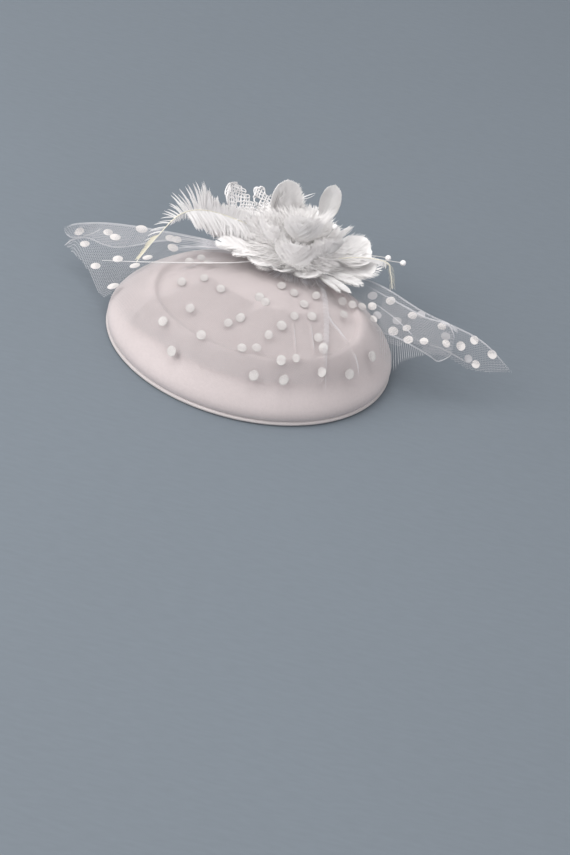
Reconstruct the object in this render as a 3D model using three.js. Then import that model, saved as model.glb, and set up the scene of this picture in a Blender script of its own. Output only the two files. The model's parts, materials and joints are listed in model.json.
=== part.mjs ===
// A fascinator: a small oval felt hat, a dotted net veil gathered under a feather flower.
// Millimetres, +Z up. The hat stands on the bound edge of its rim at height 0; the viewer of
// its front looks along +Y. Everything is laid out from the middle of the rim, and the whole
// is then moved so that the middle of its outline lies over the origin.

import * as THREE from 'three';

// ---------- driving dimensions ----------

const FELT_WALL = 2.5;
const NET_WALL = 1.0;
const PETAL_WALL = 1.2;
const GAP = 0.3; // left between pieces that touch

const BINDING = { width: 4.2, height: 2.4, chamfer: 0.8 };

const FLOWER = { x: 15, y: 44 }; // axis of the flower on the hat
const PUFF = { radius: 19, rise: 22, middle: 40, foot: 32.7, neckRadius: 12.5, neckTop: 38.4 };

const COMB = { width: 46, spine: 8, tooth: 20, teeth: 8, wall: 1.6, top: 31.2, y: -30 };

const PEARL_RADIUS = 1.8;
const WIRE_RADIUS = 0.5;

// Ellipses of the felt from the rim's lower edge to the top of the dome.
const HAT_SECTIONS = [
  { halfWidth: 84.6, halfDepth: 78.2, middle: -0.6, height: BINDING.height + GAP },
  { halfWidth: 86.0, halfDepth: 79.2, middle: -0.6, height: 5.6 },
  { halfWidth: 84.2, halfDepth: 77.2, middle: -0.8, height: 10.0 },
  { halfWidth: 78.8, halfDepth: 71.4, middle: -1.6, height: 16.5 },
  { halfWidth: 71.8, halfDepth: 63.4, middle: -3.0, height: 24.0 },
  { halfWidth: 66.4, halfDepth: 57.2, middle: -4.6, height: 30.0 },
  { halfWidth: 62.4, halfDepth: 53.4, middle: -5.4, height: 32.2 },
  { halfWidth: 59.4, halfDepth: 50.4, middle: -5.6, height: 31.2 },
  { halfWidth: 57.0, halfDepth: 48.0, middle: -5.6, height: 29.2 },
  { halfWidth: 54.0, halfDepth: 45.0, middle: -5.6, height: 30.2 },
  { halfWidth: 42.0, halfDepth: 34.5, middle: -5.6, height: 33.8 },
  { halfWidth: 22.0, halfDepth: 18.0, middle: -5.6, height: 36.2 },
  { halfWidth: 0.0, halfDepth: 0.0, middle: -5.6, height: 37.0 },
];

// Ellipses that the net rests along: it spans the groove and hangs a little off the wall.
const NET_SECTIONS = [
  { halfWidth: 94.0, halfDepth: 88.0, middle: -0.5, height: 7.0 },
  { halfWidth: 88.0, halfDepth: 81.5, middle: -0.8, height: 13.5 },
  { halfWidth: 81.0, halfDepth: 74.0, middle: -1.6, height: 21.0 },
  { halfWidth: 73.4, halfDepth: 65.2, middle: -3.2, height: 28.8 },
  { halfWidth: 65.5, halfDepth: 56.4, middle: -5.0, height: 34.0 },
  { halfWidth: 54.0, halfDepth: 45.0, middle: -5.6, height: 35.6 },
  { halfWidth: 30.0, halfDepth: 25.0, middle: -5.6, height: 37.8 },
  { halfWidth: 0.0, halfDepth: 0.0, middle: -5.6, height: 38.8 },
];

// Free edges of the net, as points that a smooth curve runs through.
const HEM_FRONT = [
  { x: -85.7, y: -10.7, z: 11.5 },
  { x: -72.5, y: -37.5, z: 15.5 },
  { x: -40.5, y: -62.6, z: 20.3 },
  { x: -5, y: -72.8, z: 20.5 },
  { x: 30, y: -67, z: 21 },
  { x: 61.8, y: -47.2, z: 19.5 },
  { x: 84, y: -20, z: 15.5 },
];
const HEM_LEFT = [
  { x: -87.4, y: -9, z: 11.5 },
  { x: -100, y: 10, z: 13.6 },
  { x: -113.4, y: 28, z: 16.6 },
  { x: -122, y: 38, z: 21 },
];
const TOP_EDGE_LEFT = [
  { x: -43.3, y: 42, z: 36.5 },
  { x: -91, y: 44, z: 31.5 },
  { x: -117.4, y: 42, z: 25 },
  { x: -122, y: 38, z: 21 },
];
const HEM_RIGHT = [
  { x: 86.4, y: -17.8, z: 15.5 },
  { x: 88.8, y: -22, z: 26.3 },
  { x: 100.3, y: -16, z: 30.6 },
  { x: 112.7, y: -12, z: 30.4 },
  { x: 129.2, y: -6, z: 23.5 },
  { x: 154, y: -2, z: 24.5 },
];
const TOP_EDGE_RIGHT = [
  { x: 65, y: 38, z: 37.2 },
  { x: 97, y: 20, z: 36.5 },
  { x: 131, y: 5, z: 36.6 },
  { x: 154, y: -2, z: 24.5 },
];

// The net is gathered on an arc round the flower's foot, between these bearings in degrees.
const GATHER = { radius: 15.5, left: 176, leftSeam: 198, rightSeam: 340, right: 368, seamGap: 3 };
const FRONT_FOLDS = 6;
const FOLD_HEIGHT = 1.2;

// Petals. Angles are in degrees: the bearing round the flower, the root's height on the puff, the
// slope at the root and at the tip, and the roll (above zero, the edge on the bearing's
// counter-clockwise side dips).
// The cup is how far the sides curl up, and a blunt of 1 is a square tip.
const PETALS = [
  // name, bearing, root, slope, tipSlope, length, width, cup, roll, blunt
  ['petal_upright_left',       127, 50, 68,  78, 24.5, 20, 2.5,  12,  0.3],
  ['petal_upright_right',       47, 50, 66,  74,   27, 18, 2.5, -12, 0.25],
  ['petal_top_front',          278, 48, 70,  82,   17, 20,   3,   0,  0.4],
  ['lace_petal_outer',         172, 32, 20,  50, 37.5, 20,   2,  12,  0.3],
  ['lace_petal_inner',         143, 34, 20,  44,   24, 13, 1.5,  12, 0.55],
  ['petal_right_upper',          1, 26, 14,  28,   26, 28, 2.5, -14, 0.62],
  ['petal_middle_front_right', 319, 23, 56,  74,   20, 18,   3,  15,  0.4],
  ['petal_middle_front',       268,  9, 68,  82,   20, 18,   3,   0,  0.4],
  ['petal_middle_front_left',  217, 23, 56,  76,   20, 18,   3, -15,  0.4],
  ['petal_middle_back_right',   44, 22, 34,  56,   22, 16,   3, -12,  0.4],
  ['petal_middle_back',         79, 22, 34,  54,   22, 17,   3,   0,  0.4],
  ['petal_middle_back_left',   113, 22, 34,  56,   22, 16,   3,  12,  0.4],
  ['petal_right_lower',        352,  6,  2,  13, 34.5, 20,   2, -10,  0.5],
  ['petal_low_right_1',        331, -2,  2, 2.5, 28.5, 15,   1,  -9,  0.3],
  ['petal_low_right_2',        312, -2,  4,   2,   28, 15,   1, -14,  0.3],
  ['petal_low_front_1',        292, -1,  4,  14,   13, 16, 1.5,  -8,  0.4],
  ['petal_low_front_2',        263, -1,  6,  18,   11, 13, 1.5,   0,  0.4],
  ['petal_low_front_3',        236, -1,  4,  14,   14, 18, 1.5,  10,  0.4],
  ['petal_low_left_1',         206,  3,  6,   5, 37.5, 22,   2,  12,  0.4],
  ['petal_low_left_2',         180,  2,  4,  12,   31, 19,   2,  12,  0.4],
  ['petal_low_back_1',         152,  2,  6,  22,   27, 19,   2,  12,  0.4],
  ['petal_low_back_2',         121,  2,  6,  22,   27, 20,   2,  12,  0.4],
  ['petal_low_back_3',          90,  0,  4,  18,   27, 20,   2,   0,  0.4],
  ['petal_low_back_4',          59,  2,  6,  22,   27, 20,   2, -12,  0.4],
  ['petal_low_back_5',          28,  2,  4,  18,   27, 18,   2, -12,  0.4],
];

// Long feathers: points along the quill, with the vane's reach on its upper and lower side.
const FEATHER_LEFT = [
  { x: -3.2, y: 41.6, z: 50.4, upper: 1.2, lower: 1.2 },
  { x: -22, y: 37, z: 57.8, upper: 6, lower: 6 },
  { x: -43, y: 34, z: 61, upper: 17, lower: 11 },
  { x: -56.7, y: 29, z: 57, upper: 17, lower: 6 },
  { x: -66.4, y: 17, z: 46, upper: 5, lower: 2.5 },
  { x: -74.9, y: 5, z: 33, upper: 3, lower: 1.2 },
];
const FEATHER_RIGHT = [
  { x: 34, y: 40, z: 44.2, upper: 1, lower: 1 },
  { x: 52, y: 39.5, z: 51, upper: 1.2, lower: 1.2 },
  { x: 68, y: 38, z: 53.2, upper: 2.5, lower: 1.5 },
  { x: 72, y: 34, z: 48.9, upper: 3.5, lower: 2.5 },
  { x: 75.2, y: 28, z: 42.2, upper: 2, lower: 2 },
];
const FILAMENT = [
  { x: -0.4, y: 31, z: 39.6 },
  { x: -24.5, y: 16, z: 40.1 },
  { x: -65, y: 2, z: 37.8 },
  { x: -94, y: 0, z: 32 },
];

// Stamens: the root on the puff and the middle of the pearl.
const STAMENS = [
  { name: 'stamen_right_long', root: [34.4, 46.2, 47.6], pearl: [78.2, 44, 51.7] },
  { name: 'stamen_right_short', root: [33.6, 50, 47.6], pearl: [69.1, 48, 50.2] },
  { name: 'stamen_upper', root: [28.3, 39.2, 56.2], pearl: [33.4, 38, 68.2] },
];

// ---------- materials ----------

const material = (color, roughness) => new THREE.MeshStandardMaterial({ color, roughness, metalness: 0 });
const felt = material(0xe6dedd, 0.85);
const satin = material(0xe2dcdb, 0.55);
const net = material(0xdfe3e8, 0.9);
const featherWhite = material(0xf2eeec, 0.8);
const lace = material(0xf4f2f2, 0.75);
const quill = material(0xe9e2cf, 0.5);
const pearl = material(0xf4f4f4, 0.2);
const clear = material(0xe8e8e6, 0.3);

// ---------- curves, sections and walls ----------

const radians = THREE.MathUtils.degToRad;
const vector = (point) => new THREE.Vector3(point.x, point.y, point.z);
const smooth = (points) => new THREE.CatmullRomCurve3(points.map(vector));

// A value of a section table at a place between two of its rows.
function sectionAt(sections, place) {
  const row = Math.min(Math.floor(place), sections.length - 2);
  const share = place - row;
  const mix = (key) => THREE.MathUtils.lerp(sections[row][key], sections[row + 1][key], share);
  return {
    halfWidth: mix('halfWidth'),
    halfDepth: mix('halfDepth'),
    middle: mix('middle'),
    height: mix('height'),
  };
}

// Height of a sectioned dome over (x, y): the place whose ellipse passes through the point.
function domeHeight(sections, x, y) {
  let low = 0;
  let high = sections.length - 1;
  for (let step = 0; step < 40; step += 1) {
    const place = (low + high) / 2;
    const { halfWidth, halfDepth, middle } = sectionAt(sections, place);
    const outside = (x / halfWidth) ** 2 + ((y - middle) / halfDepth) ** 2 > 1;
    if (outside) high = place;
    else low = place;
  }
  return sectionAt(sections, low).height;
}

function solidFrom(points, triangles) {
  const geometry = new THREE.BufferGeometry().setFromPoints(points);
  geometry.setIndex(triangles);
  geometry.computeVertexNormals();
  return geometry;
}

// A wall of even thickness about a surface given as pointAt(u, v), both from 0 to 1.
function wall(pointAt, columns, rows, thickness) {
  const reach = 1e-3;
  const points = [];
  for (const side of [0.5, -0.5]) {
    for (let i = 0; i <= columns; i += 1) {
      for (let j = 0; j <= rows; j += 1) {
        const u = i / columns;
        const v = j / rows;
        const alongU = pointAt(Math.min(u + reach, 1), v).sub(pointAt(Math.max(u - reach, 0), v));
        const alongV = pointAt(u, Math.min(v + reach, 1)).sub(pointAt(u, Math.max(v - reach, 0)));
        const normal = alongU.cross(alongV).normalize();
        points.push(pointAt(u, v).addScaledVector(normal, side * thickness));
      }
    }
  }
  const layer = (columns + 1) * (rows + 1);
  const at = (i, j, side) => side * layer + i * (rows + 1) + j;
  const triangles = [];
  const quad = (a, b, c, d) => triangles.push(a, b, c, a, c, d);
  for (let i = 0; i < columns; i += 1) {
    for (let j = 0; j < rows; j += 1) {
      quad(at(i, j, 0), at(i + 1, j, 0), at(i + 1, j + 1, 0), at(i, j + 1, 0));
      quad(at(i, j, 1), at(i, j + 1, 1), at(i + 1, j + 1, 1), at(i + 1, j, 1));
    }
    quad(at(i, 0, 0), at(i, 0, 1), at(i + 1, 0, 1), at(i + 1, 0, 0));
    quad(at(i, rows, 0), at(i + 1, rows, 0), at(i + 1, rows, 1), at(i, rows, 1));
  }
  for (let j = 0; j < rows; j += 1) {
    quad(at(0, j, 0), at(0, j + 1, 0), at(0, j + 1, 1), at(0, j, 1));
    quad(at(columns, j, 0), at(columns, j, 1), at(columns, j + 1, 1), at(columns, j + 1, 0));
  }
  return solidFrom(points, triangles);
}

// ---------- hat base ----------

// Rings of ellipses joined into one closed skin; a ring of no width is a single point.
function ringSkin(rings, corners) {
  const points = [];
  const starts = rings.map((ring) => {
    const start = points.length;
    const count = ring.halfWidth < 1e-6 ? 1 : corners;
    for (let k = 0; k < count; k += 1) {
      const turn = (2 * Math.PI * k) / corners;
      points.push(new THREE.Vector3(
        ring.halfWidth * Math.cos(turn), ring.middle + ring.halfDepth * Math.sin(turn), ring.height));
    }
    return { start, count };
  });
  const triangles = [];
  for (let row = 0; row < rings.length; row += 1) {
    const here = starts[row];
    const next = starts[(row + 1) % rings.length];
    if (here.count === 1 && next.count === 1) continue;
    for (let k = 0; k < corners; k += 1) {
      const a = here.start + (here.count === 1 ? 0 : k);
      const b = here.start + (here.count === 1 ? 0 : (k + 1) % corners);
      const c = next.start + (next.count === 1 ? 0 : (k + 1) % corners);
      const d = next.start + (next.count === 1 ? 0 : k);
      if (a !== b) triangles.push(a, b, c);
      if (c !== d) triangles.push(a, c, d);
    }
  }
  return solidFrom(points, triangles);
}

// The inner skin keeps the wall's thickness from the outer one, measured square to the profile.
function innerSections(sections) {
  return sections.map((section, row) => {
    if (row === sections.length - 1) return { ...section, height: section.height - FELT_WALL };
    const before = sections[Math.max(row - 1, 0)];
    const after = sections[row + 1];
    const inward = row === 0 ? 1 : (after.height - before.height);
    const along = row === 0 ? 0 : (before.halfWidth - after.halfWidth);
    const length = Math.hypot(inward, along);
    const shrink = (FELT_WALL * inward) / length;
    const drop = (FELT_WALL * along) / length;
    return {
      halfWidth: section.halfWidth - shrink,
      halfDepth: section.halfDepth - shrink,
      middle: section.middle,
      height: section.height - drop,
    };
  });
}

function hatBase() {
  const inner = innerSections(HAT_SECTIONS).reverse();
  return ringSkin([...HAT_SECTIONS, ...inner], 52);
}

function rimBinding() {
  const edge = HAT_SECTIONS[0];
  const middle = { halfWidth: edge.halfWidth - FELT_WALL / 2, halfDepth: edge.halfDepth - FELT_WALL / 2 };
  const half = BINDING.width / 2;
  const { height, chamfer } = BINDING;
  const outline = [
    { out: -half + chamfer, height: 0 },
    { out: half - chamfer, height: 0 },
    { out: half, height: chamfer },
    { out: half, height: height - chamfer },
    { out: half - chamfer, height },
    { out: -half + chamfer, height },
    { out: -half, height: height - chamfer },
    { out: -half, height: chamfer },
  ];
  const rings = outline.map((corner) => ({
    halfWidth: middle.halfWidth + corner.out,
    halfDepth: middle.halfDepth + corner.out,
    middle: edge.middle,
    height: corner.height,
  }));
  return ringSkin(rings, 52);
}

// A flat comb under the crown: a spine with square teeth.
function comb() {
  const { width, spine, tooth, teeth, wall: thickness } = COMB;
  const pitch = width / (2 * teeth - 1);
  const shape = new THREE.Shape();
  shape.moveTo(-width / 2, 0);
  shape.lineTo(width / 2, 0);
  for (let k = teeth - 1; k >= 0; k -= 1) {
    const left = -width / 2 + 2 * k * pitch;
    shape.lineTo(left + pitch, spine + tooth);
    shape.lineTo(left, spine + tooth);
    if (k > 0) {
      shape.lineTo(left, spine);
      shape.lineTo(left - pitch, spine);
    }
  }
  return new THREE.ExtrudeGeometry(shape, { depth: thickness, bevelEnabled: false });
}

// ---------- veil ----------

const netHeight = (x, y) => domeHeight(NET_SECTIONS, x, y);

function gatherPoint(bearing) {
  const x = FLOWER.x + GATHER.radius * Math.cos(radians(bearing));
  const y = FLOWER.y + GATHER.radius * Math.sin(radians(bearing));
  return new THREE.Vector3(x, y, netHeight(x, y));
}

// A line from the gather to the hem that keeps on or above the net's resting form.
function restingLine(start, end, v) {
  const point = start.clone().lerp(end, v);
  const rest = netHeight(point.x, point.y);
  point.z = Math.max(point.z, rest);
  return point;
}

function veilFront() {
  const hem = smooth(HEM_FRONT);
  const pointAt = (u, v) => {
    const start = gatherPoint(THREE.MathUtils.lerp(GATHER.leftSeam, GATHER.rightSeam, u));
    const point = restingLine(start, hem.getPoint(u), v);
    const fold = 0.5 - 0.5 * Math.cos(2 * Math.PI * FRONT_FOLDS * u);
    point.z += FOLD_HEIGHT * fold * Math.sin(Math.PI * v);
    return point;
  };
  return wall(pointAt, 30, 9, NET_WALL);
}

// A wing runs from its seam with the front veil (u = 0) to its own top edge (u = 1).
function veilWing(seamBearing, endBearing, hemPoints, edgePoints) {
  const hem = smooth(hemPoints);
  const edge = smooth([gatherPoint(endBearing), ...edgePoints]);
  const seamStart = gatherPoint(seamBearing);
  const seamHem = vector(hemPoints[0]);
  const pointAt = (u, v) => {
    const seam = restingLine(seamStart, seamHem, v);
    const top = edge.getPoint(v);
    const point = seam.lerp(top, u);
    const ruledEnd = seamHem.clone().lerp(vector(edgePoints[edgePoints.length - 1]), u);
    point.add(hem.getPoint(u).sub(ruledEnd).multiplyScalar(v * v));
    point.z = Math.max(point.z, netHeight(point.x, point.y) * (v < 1 ? 1 : 0));
    return point;
  };
  return pointAt;
}

// ---------- flower ----------

function flowerPuff() {
  const profile = [
    new THREE.Vector2(0, PUFF.foot),
    new THREE.Vector2(PUFF.neckRadius, PUFF.foot),
    new THREE.Vector2(PUFF.neckRadius, PUFF.neckTop),
  ];
  const lowest = Math.asin((PUFF.neckTop - PUFF.middle) / PUFF.rise);
  const steps = 7;
  for (let k = 0; k <= steps; k += 1) {
    const lift = THREE.MathUtils.lerp(lowest, Math.PI / 2, k / steps);
    const radius = k === steps ? 0 : PUFF.radius * Math.cos(lift);
    profile.push(new THREE.Vector2(radius, PUFF.middle + PUFF.rise * Math.sin(lift)));
  }
  const geometry = new THREE.LatheGeometry(profile, 20);
  geometry.rotateX(Math.PI / 2);
  geometry.translate(FLOWER.x, FLOWER.y, 0);
  return geometry;
}

// Half width of a petal along its length, as a share of its widest.
function petalOutline(v, blunt) {
  const widest = 0.62;
  const narrowRoot = 0.3;
  if (v < widest) return THREE.MathUtils.lerp(narrowRoot, 1, THREE.MathUtils.smoothstep(v, -0.05, widest));
  const over = (v - widest) / (1 - widest);
  return THREE.MathUtils.lerp(Math.sqrt(Math.max(0, 1 - over * over)), 1, blunt * 0.8);
}

// A point of the puff's skin in the upright plane of a bearing, moved out by a clearance.
function puffSeat(lift, clearance) {
  const normal = new THREE.Vector2(Math.cos(lift) / PUFF.radius, Math.sin(lift) / PUFF.rise).normalize();
  return new THREE.Vector2(PUFF.radius * Math.cos(lift), PUFF.middle + PUFF.rise * Math.sin(lift))
    .addScaledVector(normal, clearance);
}

function petal([, bearing, root, slope, tipSlope, length, width, cup, roll, blunt]) {
  const out = new THREE.Vector3(Math.cos(radians(bearing)), Math.sin(radians(bearing)), 0);
  const side = new THREE.Vector3(-out.y, out.x, 0);
  const overhang = (PETAL_WALL / 2) * Math.abs(Math.sin(radians(slope - root)));
  const seat = puffSeat(radians(root), GAP + overhang + 0.15);
  const first = radians(slope);
  const turn = radians(tipSlope) - first || 1e-6;
  const lean = Math.tan(radians(roll));
  const pointAt = (u, v) => {
    const angle = first + turn * v;
    const radius = seat.x + (length * (Math.sin(angle) - Math.sin(first))) / turn;
    const height = seat.y - (length * (Math.cos(angle) - Math.cos(first))) / turn;
    const across = 2 * u - 1;
    const share = petalOutline(v, blunt);
    const sideways = across * (width / 2) * share;
    const rise = cup * across * across * share * Math.min(1, 2 * v) + sideways * lean;
    return new THREE.Vector3(FLOWER.x, FLOWER.y, height + rise * Math.cos(angle))
      .addScaledVector(out, radius - rise * Math.sin(angle))
      .addScaledVector(side, -sideways);
  };
  return wall(pointAt, 4, 5, PETAL_WALL);
}

// ---------- long feathers, filament and stamens ----------

function feather(points, facing) {
  const curve = smooth(points);
  const reachAt = (key, v) => {
    const place = v * (points.length - 1);
    const row = Math.min(Math.floor(place), points.length - 2);
    return THREE.MathUtils.lerp(points[row][key], points[row + 1][key], place - row);
  };
  const pointAt = (u, v) => {
    const tangent = curve.getTangent(v);
    const upward = new THREE.Vector3().crossVectors(tangent, facing).normalize();
    const across = 2 * u - 1;
    const reach = across > 0 ? across * reachAt('upper', v) : across * reachAt('lower', v);
    return curve.getPoint(v).addScaledVector(upward, reach);
  };
  return wall(pointAt, 3, 12, PETAL_WALL);
}

function strand(points, radius) {
  const section = new THREE.Shape();
  const corners = 6;
  for (let k = 0; k < corners; k += 1) {
    const turn = (2 * Math.PI * k) / corners;
    const move = k === 0 ? 'moveTo' : 'lineTo';
    section[move](radius * Math.cos(turn), radius * Math.sin(turn));
  }
  return new THREE.ExtrudeGeometry(section, {
    steps: 10,
    bevelEnabled: false,
    extrudePath: smooth(points),
  });
}

// A wire with a pearl on its end, turned about its own axis and then aimed.
function stamen({ root, pearl: head }) {
  const start = new THREE.Vector3(...root);
  const end = new THREE.Vector3(...head);
  const length = start.distanceTo(end);
  const profile = [new THREE.Vector2(0, 0), new THREE.Vector2(WIRE_RADIUS, 0)];
  const first = Math.asin(WIRE_RADIUS / PEARL_RADIUS);
  const steps = 6;
  for (let k = 0; k <= steps; k += 1) {
    const turn = THREE.MathUtils.lerp(first, Math.PI, k / steps);
    const radius = k === steps ? 0 : PEARL_RADIUS * Math.sin(turn);
    profile.push(new THREE.Vector2(radius, length - PEARL_RADIUS * Math.cos(turn)));
  }
  const geometry = new THREE.LatheGeometry(profile, 8);
  const aim = new THREE.Quaternion().setFromUnitVectors(
    new THREE.Vector3(0, 1, 0), end.clone().sub(start).normalize());
  geometry.applyQuaternion(aim);
  geometry.translate(start.x, start.y, start.z);
  return geometry;
}

// ---------- assembly ----------

const pieces = new THREE.Group();

function add(name, geometry, finish) {
  const mesh = new THREE.Mesh(geometry, finish);
  mesh.name = name;
  pieces.add(mesh);
  return mesh;
}

add('hat_base', hatBase(), felt);
add('rim_binding', rimBinding(), satin);
add('comb', comb(), clear).position.set(0, COMB.y, COMB.top - COMB.wall);

add('veil_front', veilFront(), net);
const leftWing = veilWing(GATHER.leftSeam - GATHER.seamGap, GATHER.left, HEM_LEFT, TOP_EDGE_LEFT);
const rightWing = veilWing(GATHER.rightSeam + GATHER.seamGap, GATHER.right, HEM_RIGHT, TOP_EDGE_RIGHT);
add('veil_left_wing', wall((u, v) => leftWing(1 - u, v), 8, 9, NET_WALL), net);
add('veil_right_wing', wall(rightWing, 8, 10, NET_WALL), net);

add('flower_puff', flowerPuff(), featherWhite);
for (const row of PETALS) {
  const [name] = row;
  add(name, petal(row), name.startsWith('lace') ? lace : featherWhite);
}
add('feather_left', feather(FEATHER_LEFT, new THREE.Vector3(0, -1, 0.15).normalize()), quill);
add('feather_right', feather(FEATHER_RIGHT, new THREE.Vector3(0, 1, -0.15).normalize()), quill);
add('filament', strand(FILAMENT, WIRE_RADIUS), quill);
for (const row of STAMENS) add(row.name, stamen(row), pearl);

const fascinator = new THREE.Group();
fascinator.add(pieces);
const outline = new THREE.Box3().setFromObject(pieces);
const middle = outline.getCenter(new THREE.Vector3());
pieces.position.set(-middle.x, -middle.y, -outline.min.z);

export default fascinator;
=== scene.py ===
"""A fascinator: a small oval felt hat with a dotted net veil gathered under a feather flower.

Run as a script in Blender 4.5. Tables are in millimetres from the middle of the hat's rim, as
in the part's source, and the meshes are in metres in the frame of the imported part.
"""
import json
import math

import bmesh
import bpy
import numpy as np
from bpy.props import FloatProperty, FloatVectorProperty, IntProperty, PointerProperty
from mathutils import Matrix, Vector

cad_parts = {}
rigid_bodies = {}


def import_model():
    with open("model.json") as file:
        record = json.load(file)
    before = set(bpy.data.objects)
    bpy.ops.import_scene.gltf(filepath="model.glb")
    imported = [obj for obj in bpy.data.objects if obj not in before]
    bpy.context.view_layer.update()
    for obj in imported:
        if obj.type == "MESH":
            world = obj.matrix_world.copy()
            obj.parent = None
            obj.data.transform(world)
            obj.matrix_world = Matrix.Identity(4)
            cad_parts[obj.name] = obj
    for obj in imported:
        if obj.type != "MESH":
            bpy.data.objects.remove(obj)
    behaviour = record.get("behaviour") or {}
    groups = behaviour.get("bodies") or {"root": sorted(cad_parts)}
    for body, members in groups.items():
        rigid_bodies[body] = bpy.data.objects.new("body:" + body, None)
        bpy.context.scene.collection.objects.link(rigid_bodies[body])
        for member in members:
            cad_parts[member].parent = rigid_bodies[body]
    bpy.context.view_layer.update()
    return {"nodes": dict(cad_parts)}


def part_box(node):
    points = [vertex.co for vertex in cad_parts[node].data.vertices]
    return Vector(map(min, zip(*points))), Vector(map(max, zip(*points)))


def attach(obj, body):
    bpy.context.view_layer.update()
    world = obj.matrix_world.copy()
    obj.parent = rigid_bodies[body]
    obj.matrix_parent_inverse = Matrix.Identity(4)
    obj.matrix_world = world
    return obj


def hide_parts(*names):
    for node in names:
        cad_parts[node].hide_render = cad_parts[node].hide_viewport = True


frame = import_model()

bl_info = {
    "name": "Fascinator",
    "version": (1, 0, 0),
    "blender": (4, 5, 0),
    "location": "View3D > Sidebar > Fascinator",
    "description": "Felt hat base, dotted net veil and feather flower, built around the packed part",
    "category": "Object",
}

MM = 0.001
BODY = "root"

# Where each run of random numbers starts, so that every build is the same.
SEEDS = {
    "creases": 31, "foot_pleats": 37, "front_dots": 3, "left_dots": 5, "right_dots": 7, "far_dots": 8,
    "petals": 100, "puff": 11, "left_feather": 21, "right_feather": 22,
    "lace_bend": 4, "lace_gaps": 2, "lace_crook": 14, "lace_edge": 40,
}

# ---------- the part's own sizes, in millimetres from the middle of the rim ----------

RIM_MIDDLE = -0.6  # how far the rim's own middle lies in front of the origin of the tables
FLOWER = np.array([15.0, 44.0])
PUFF = {"radius": 19.0, "rise": 22.0, "middle": 40.0}
BINDING = {"width": 4.4, "height": 2.7, "out": 0.25}
PEARL_RADIUS = 1.8

# Ellipses of the felt, from the rim's lower edge to the top of the dome.
HAT_RINGS = [
    # half width, half depth, middle, height
    (84.3, 77.9, -0.6, 1.5),
    (86.0, 79.2, -0.6, 5.6),
    (84.2, 77.2, -0.8, 10.0),
    (78.8, 71.4, -1.6, 16.5),
    (71.8, 63.4, -3.0, 24.0),
    (66.4, 57.2, -4.6, 30.0),
    (62.8, 53.8, -5.4, 32.2),
    (60.8, 51.8, -5.5, 32.1),
    (59.6, 50.6, -5.6, 30.9),
    (58.4, 49.4, -5.6, 29.3),
    (54.0, 45.0, -5.6, 30.2),
    (42.0, 34.5, -5.6, 33.8),
    (22.0, 18.0, -5.6, 36.2),
    (8.0, 6.5, -5.6, 36.9),
]
DOME_TOP = 37.0

# Ellipses that the net rests along.
NET_RINGS = np.array([
    (94.0, 88.0, -0.5, 7.0),
    (88.0, 81.5, -0.8, 13.5),
    (81.0, 74.0, -1.6, 21.0),
    (73.4, 65.2, -3.2, 28.8),
    (65.5, 56.4, -5.0, 33.8),
    (54.0, 45.0, -5.6, 34.9),
    (30.0, 25.0, -5.6, 37.2),
    (0.01, 0.01, -5.6, 38.2),
])

# Free edges of the net.
HEM_FRONT = [(-85.7, -10.7, 11.5), (-72.5, -37.5, 15.5), (-40.5, -62.6, 20.3), (-5, -72.8, 20.5),
             (30, -67, 21), (61.8, -47.2, 19.5), (84, -20, 15.5)]
HEM_LEFT = [(-86, -9, 9), (-88.5, -8, 6.4), (-95.1, 5.5, 8.4), (-104.3, 20, 10.7), (-115.1, 30, 12.6),
            (-121, 34, 14)]
TOP_EDGE_LEFT = [(-43.3, 42, 36.5), (-91, 44, 31.5), (-112, 42.5, 27.2), (-117.9, 36, 19.8), (-121, 34, 14)]
TIP_EDGE_LEFT = [(-43.3, 42, 36.5), (-91, 44, 31.5), (-115, 42, 26.6), (-123.2, 38, 23.5)]
HEM_RIGHT = [(86.4, -17.8, 15.5), (88.8, -22, 26.3), (100.3, -16, 30.6), (112.7, -12, 30.4),
             (128, -7, 22), (141, -6, 22.6), (154, -2, 24.5)]
TOP_EDGE_RIGHT = [(65, 38, 37.2), (97, 20, 36.5), (131, 5, 36.6), (154, -2, 24.5)]

# Where the net is gathered round the flower's foot: how far out, and the bearings at which the
# edges of the wings and the seams of the front net start.
GATHER = {"radius": 15.5, "left_top": 176, "left_low": 195, "left_seam": 198,
          "right_seam": 340, "right_low": 343, "right_top": 368}

# Folds that lie in the wings.
LEFT_FOLD = [(-123.2, 38, 23.4), (-121.5, 37, 21), (-117.9, 36, 19.8), (-112.7, 37, 20.6), (-106, 37, 21.2),
             (-97.5, 34, 21.3), (-89, 32, 23.2), (-80.5, 30, 27.8), (-67, 30, 34.7), (-54, 31, 38.8),
             (-39, 33, 40.3)]
LEFT_TIP_LINES = [[(-121, 34, 14), (-117, 36, 18), (-111, 37, 20.8)],
                  [(-112.7, 37, 20.6), (-106, 40, 23.5), (-101.2, 42, 27.3)]]
RIGHT_BAND_TOP = [(60, 36, 35.4), (78.5, 26, 35.8), (97.2, 14, 37.4), (109, 9, 39.8), (113.5, 7, 38),
                  (116.4, 3, 35)]
RIGHT_BAND_FOLD = [(70.8, 2, 28.3), (84, -4, 30.4), (97.9, -8, 28.5), (104.4, -9, 26.7), (109.7, -9.5, 24.9),
                   (114.7, -9, 28.9), (116.4, -7, 31)]
RIGHT_LOW_FOLD = [(92.6, -2, 31.5), (102, -2, 30), (112.5, -2, 28.6), (125.5, -3, 25.1), (133.6, -4, 24.5)]
RIGHT_INNER_LINE = [(65.8, 28, 30.4), (80.5, 10, 34), (93.5, -4, 33.4)]
# RIGHT_HIGHLIGHT is a bundle of six threads in the lighter fold finish: a painted highlight near the right
# wing's upper edge.
RIGHT_HIGHLIGHT = [(106, 10.5, 39.4), (112, 9, 39), (118, 7, 37)]
HANG = np.array([1.0, 0.15, 0.19])  # the flare's threads hang in planes square to this
FLARE = (74, 99)  # where the right wing has only the flare's threads below its fold
FLARE_THREADS = np.arange(79.0, 103.4, 1.2)  # the planes of the flare's threads, along HANG
RAISED = {"crease": 0.1, "pleat": 0.15, "dot": -0.4, "under": -0.7}  # above the front net
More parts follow.
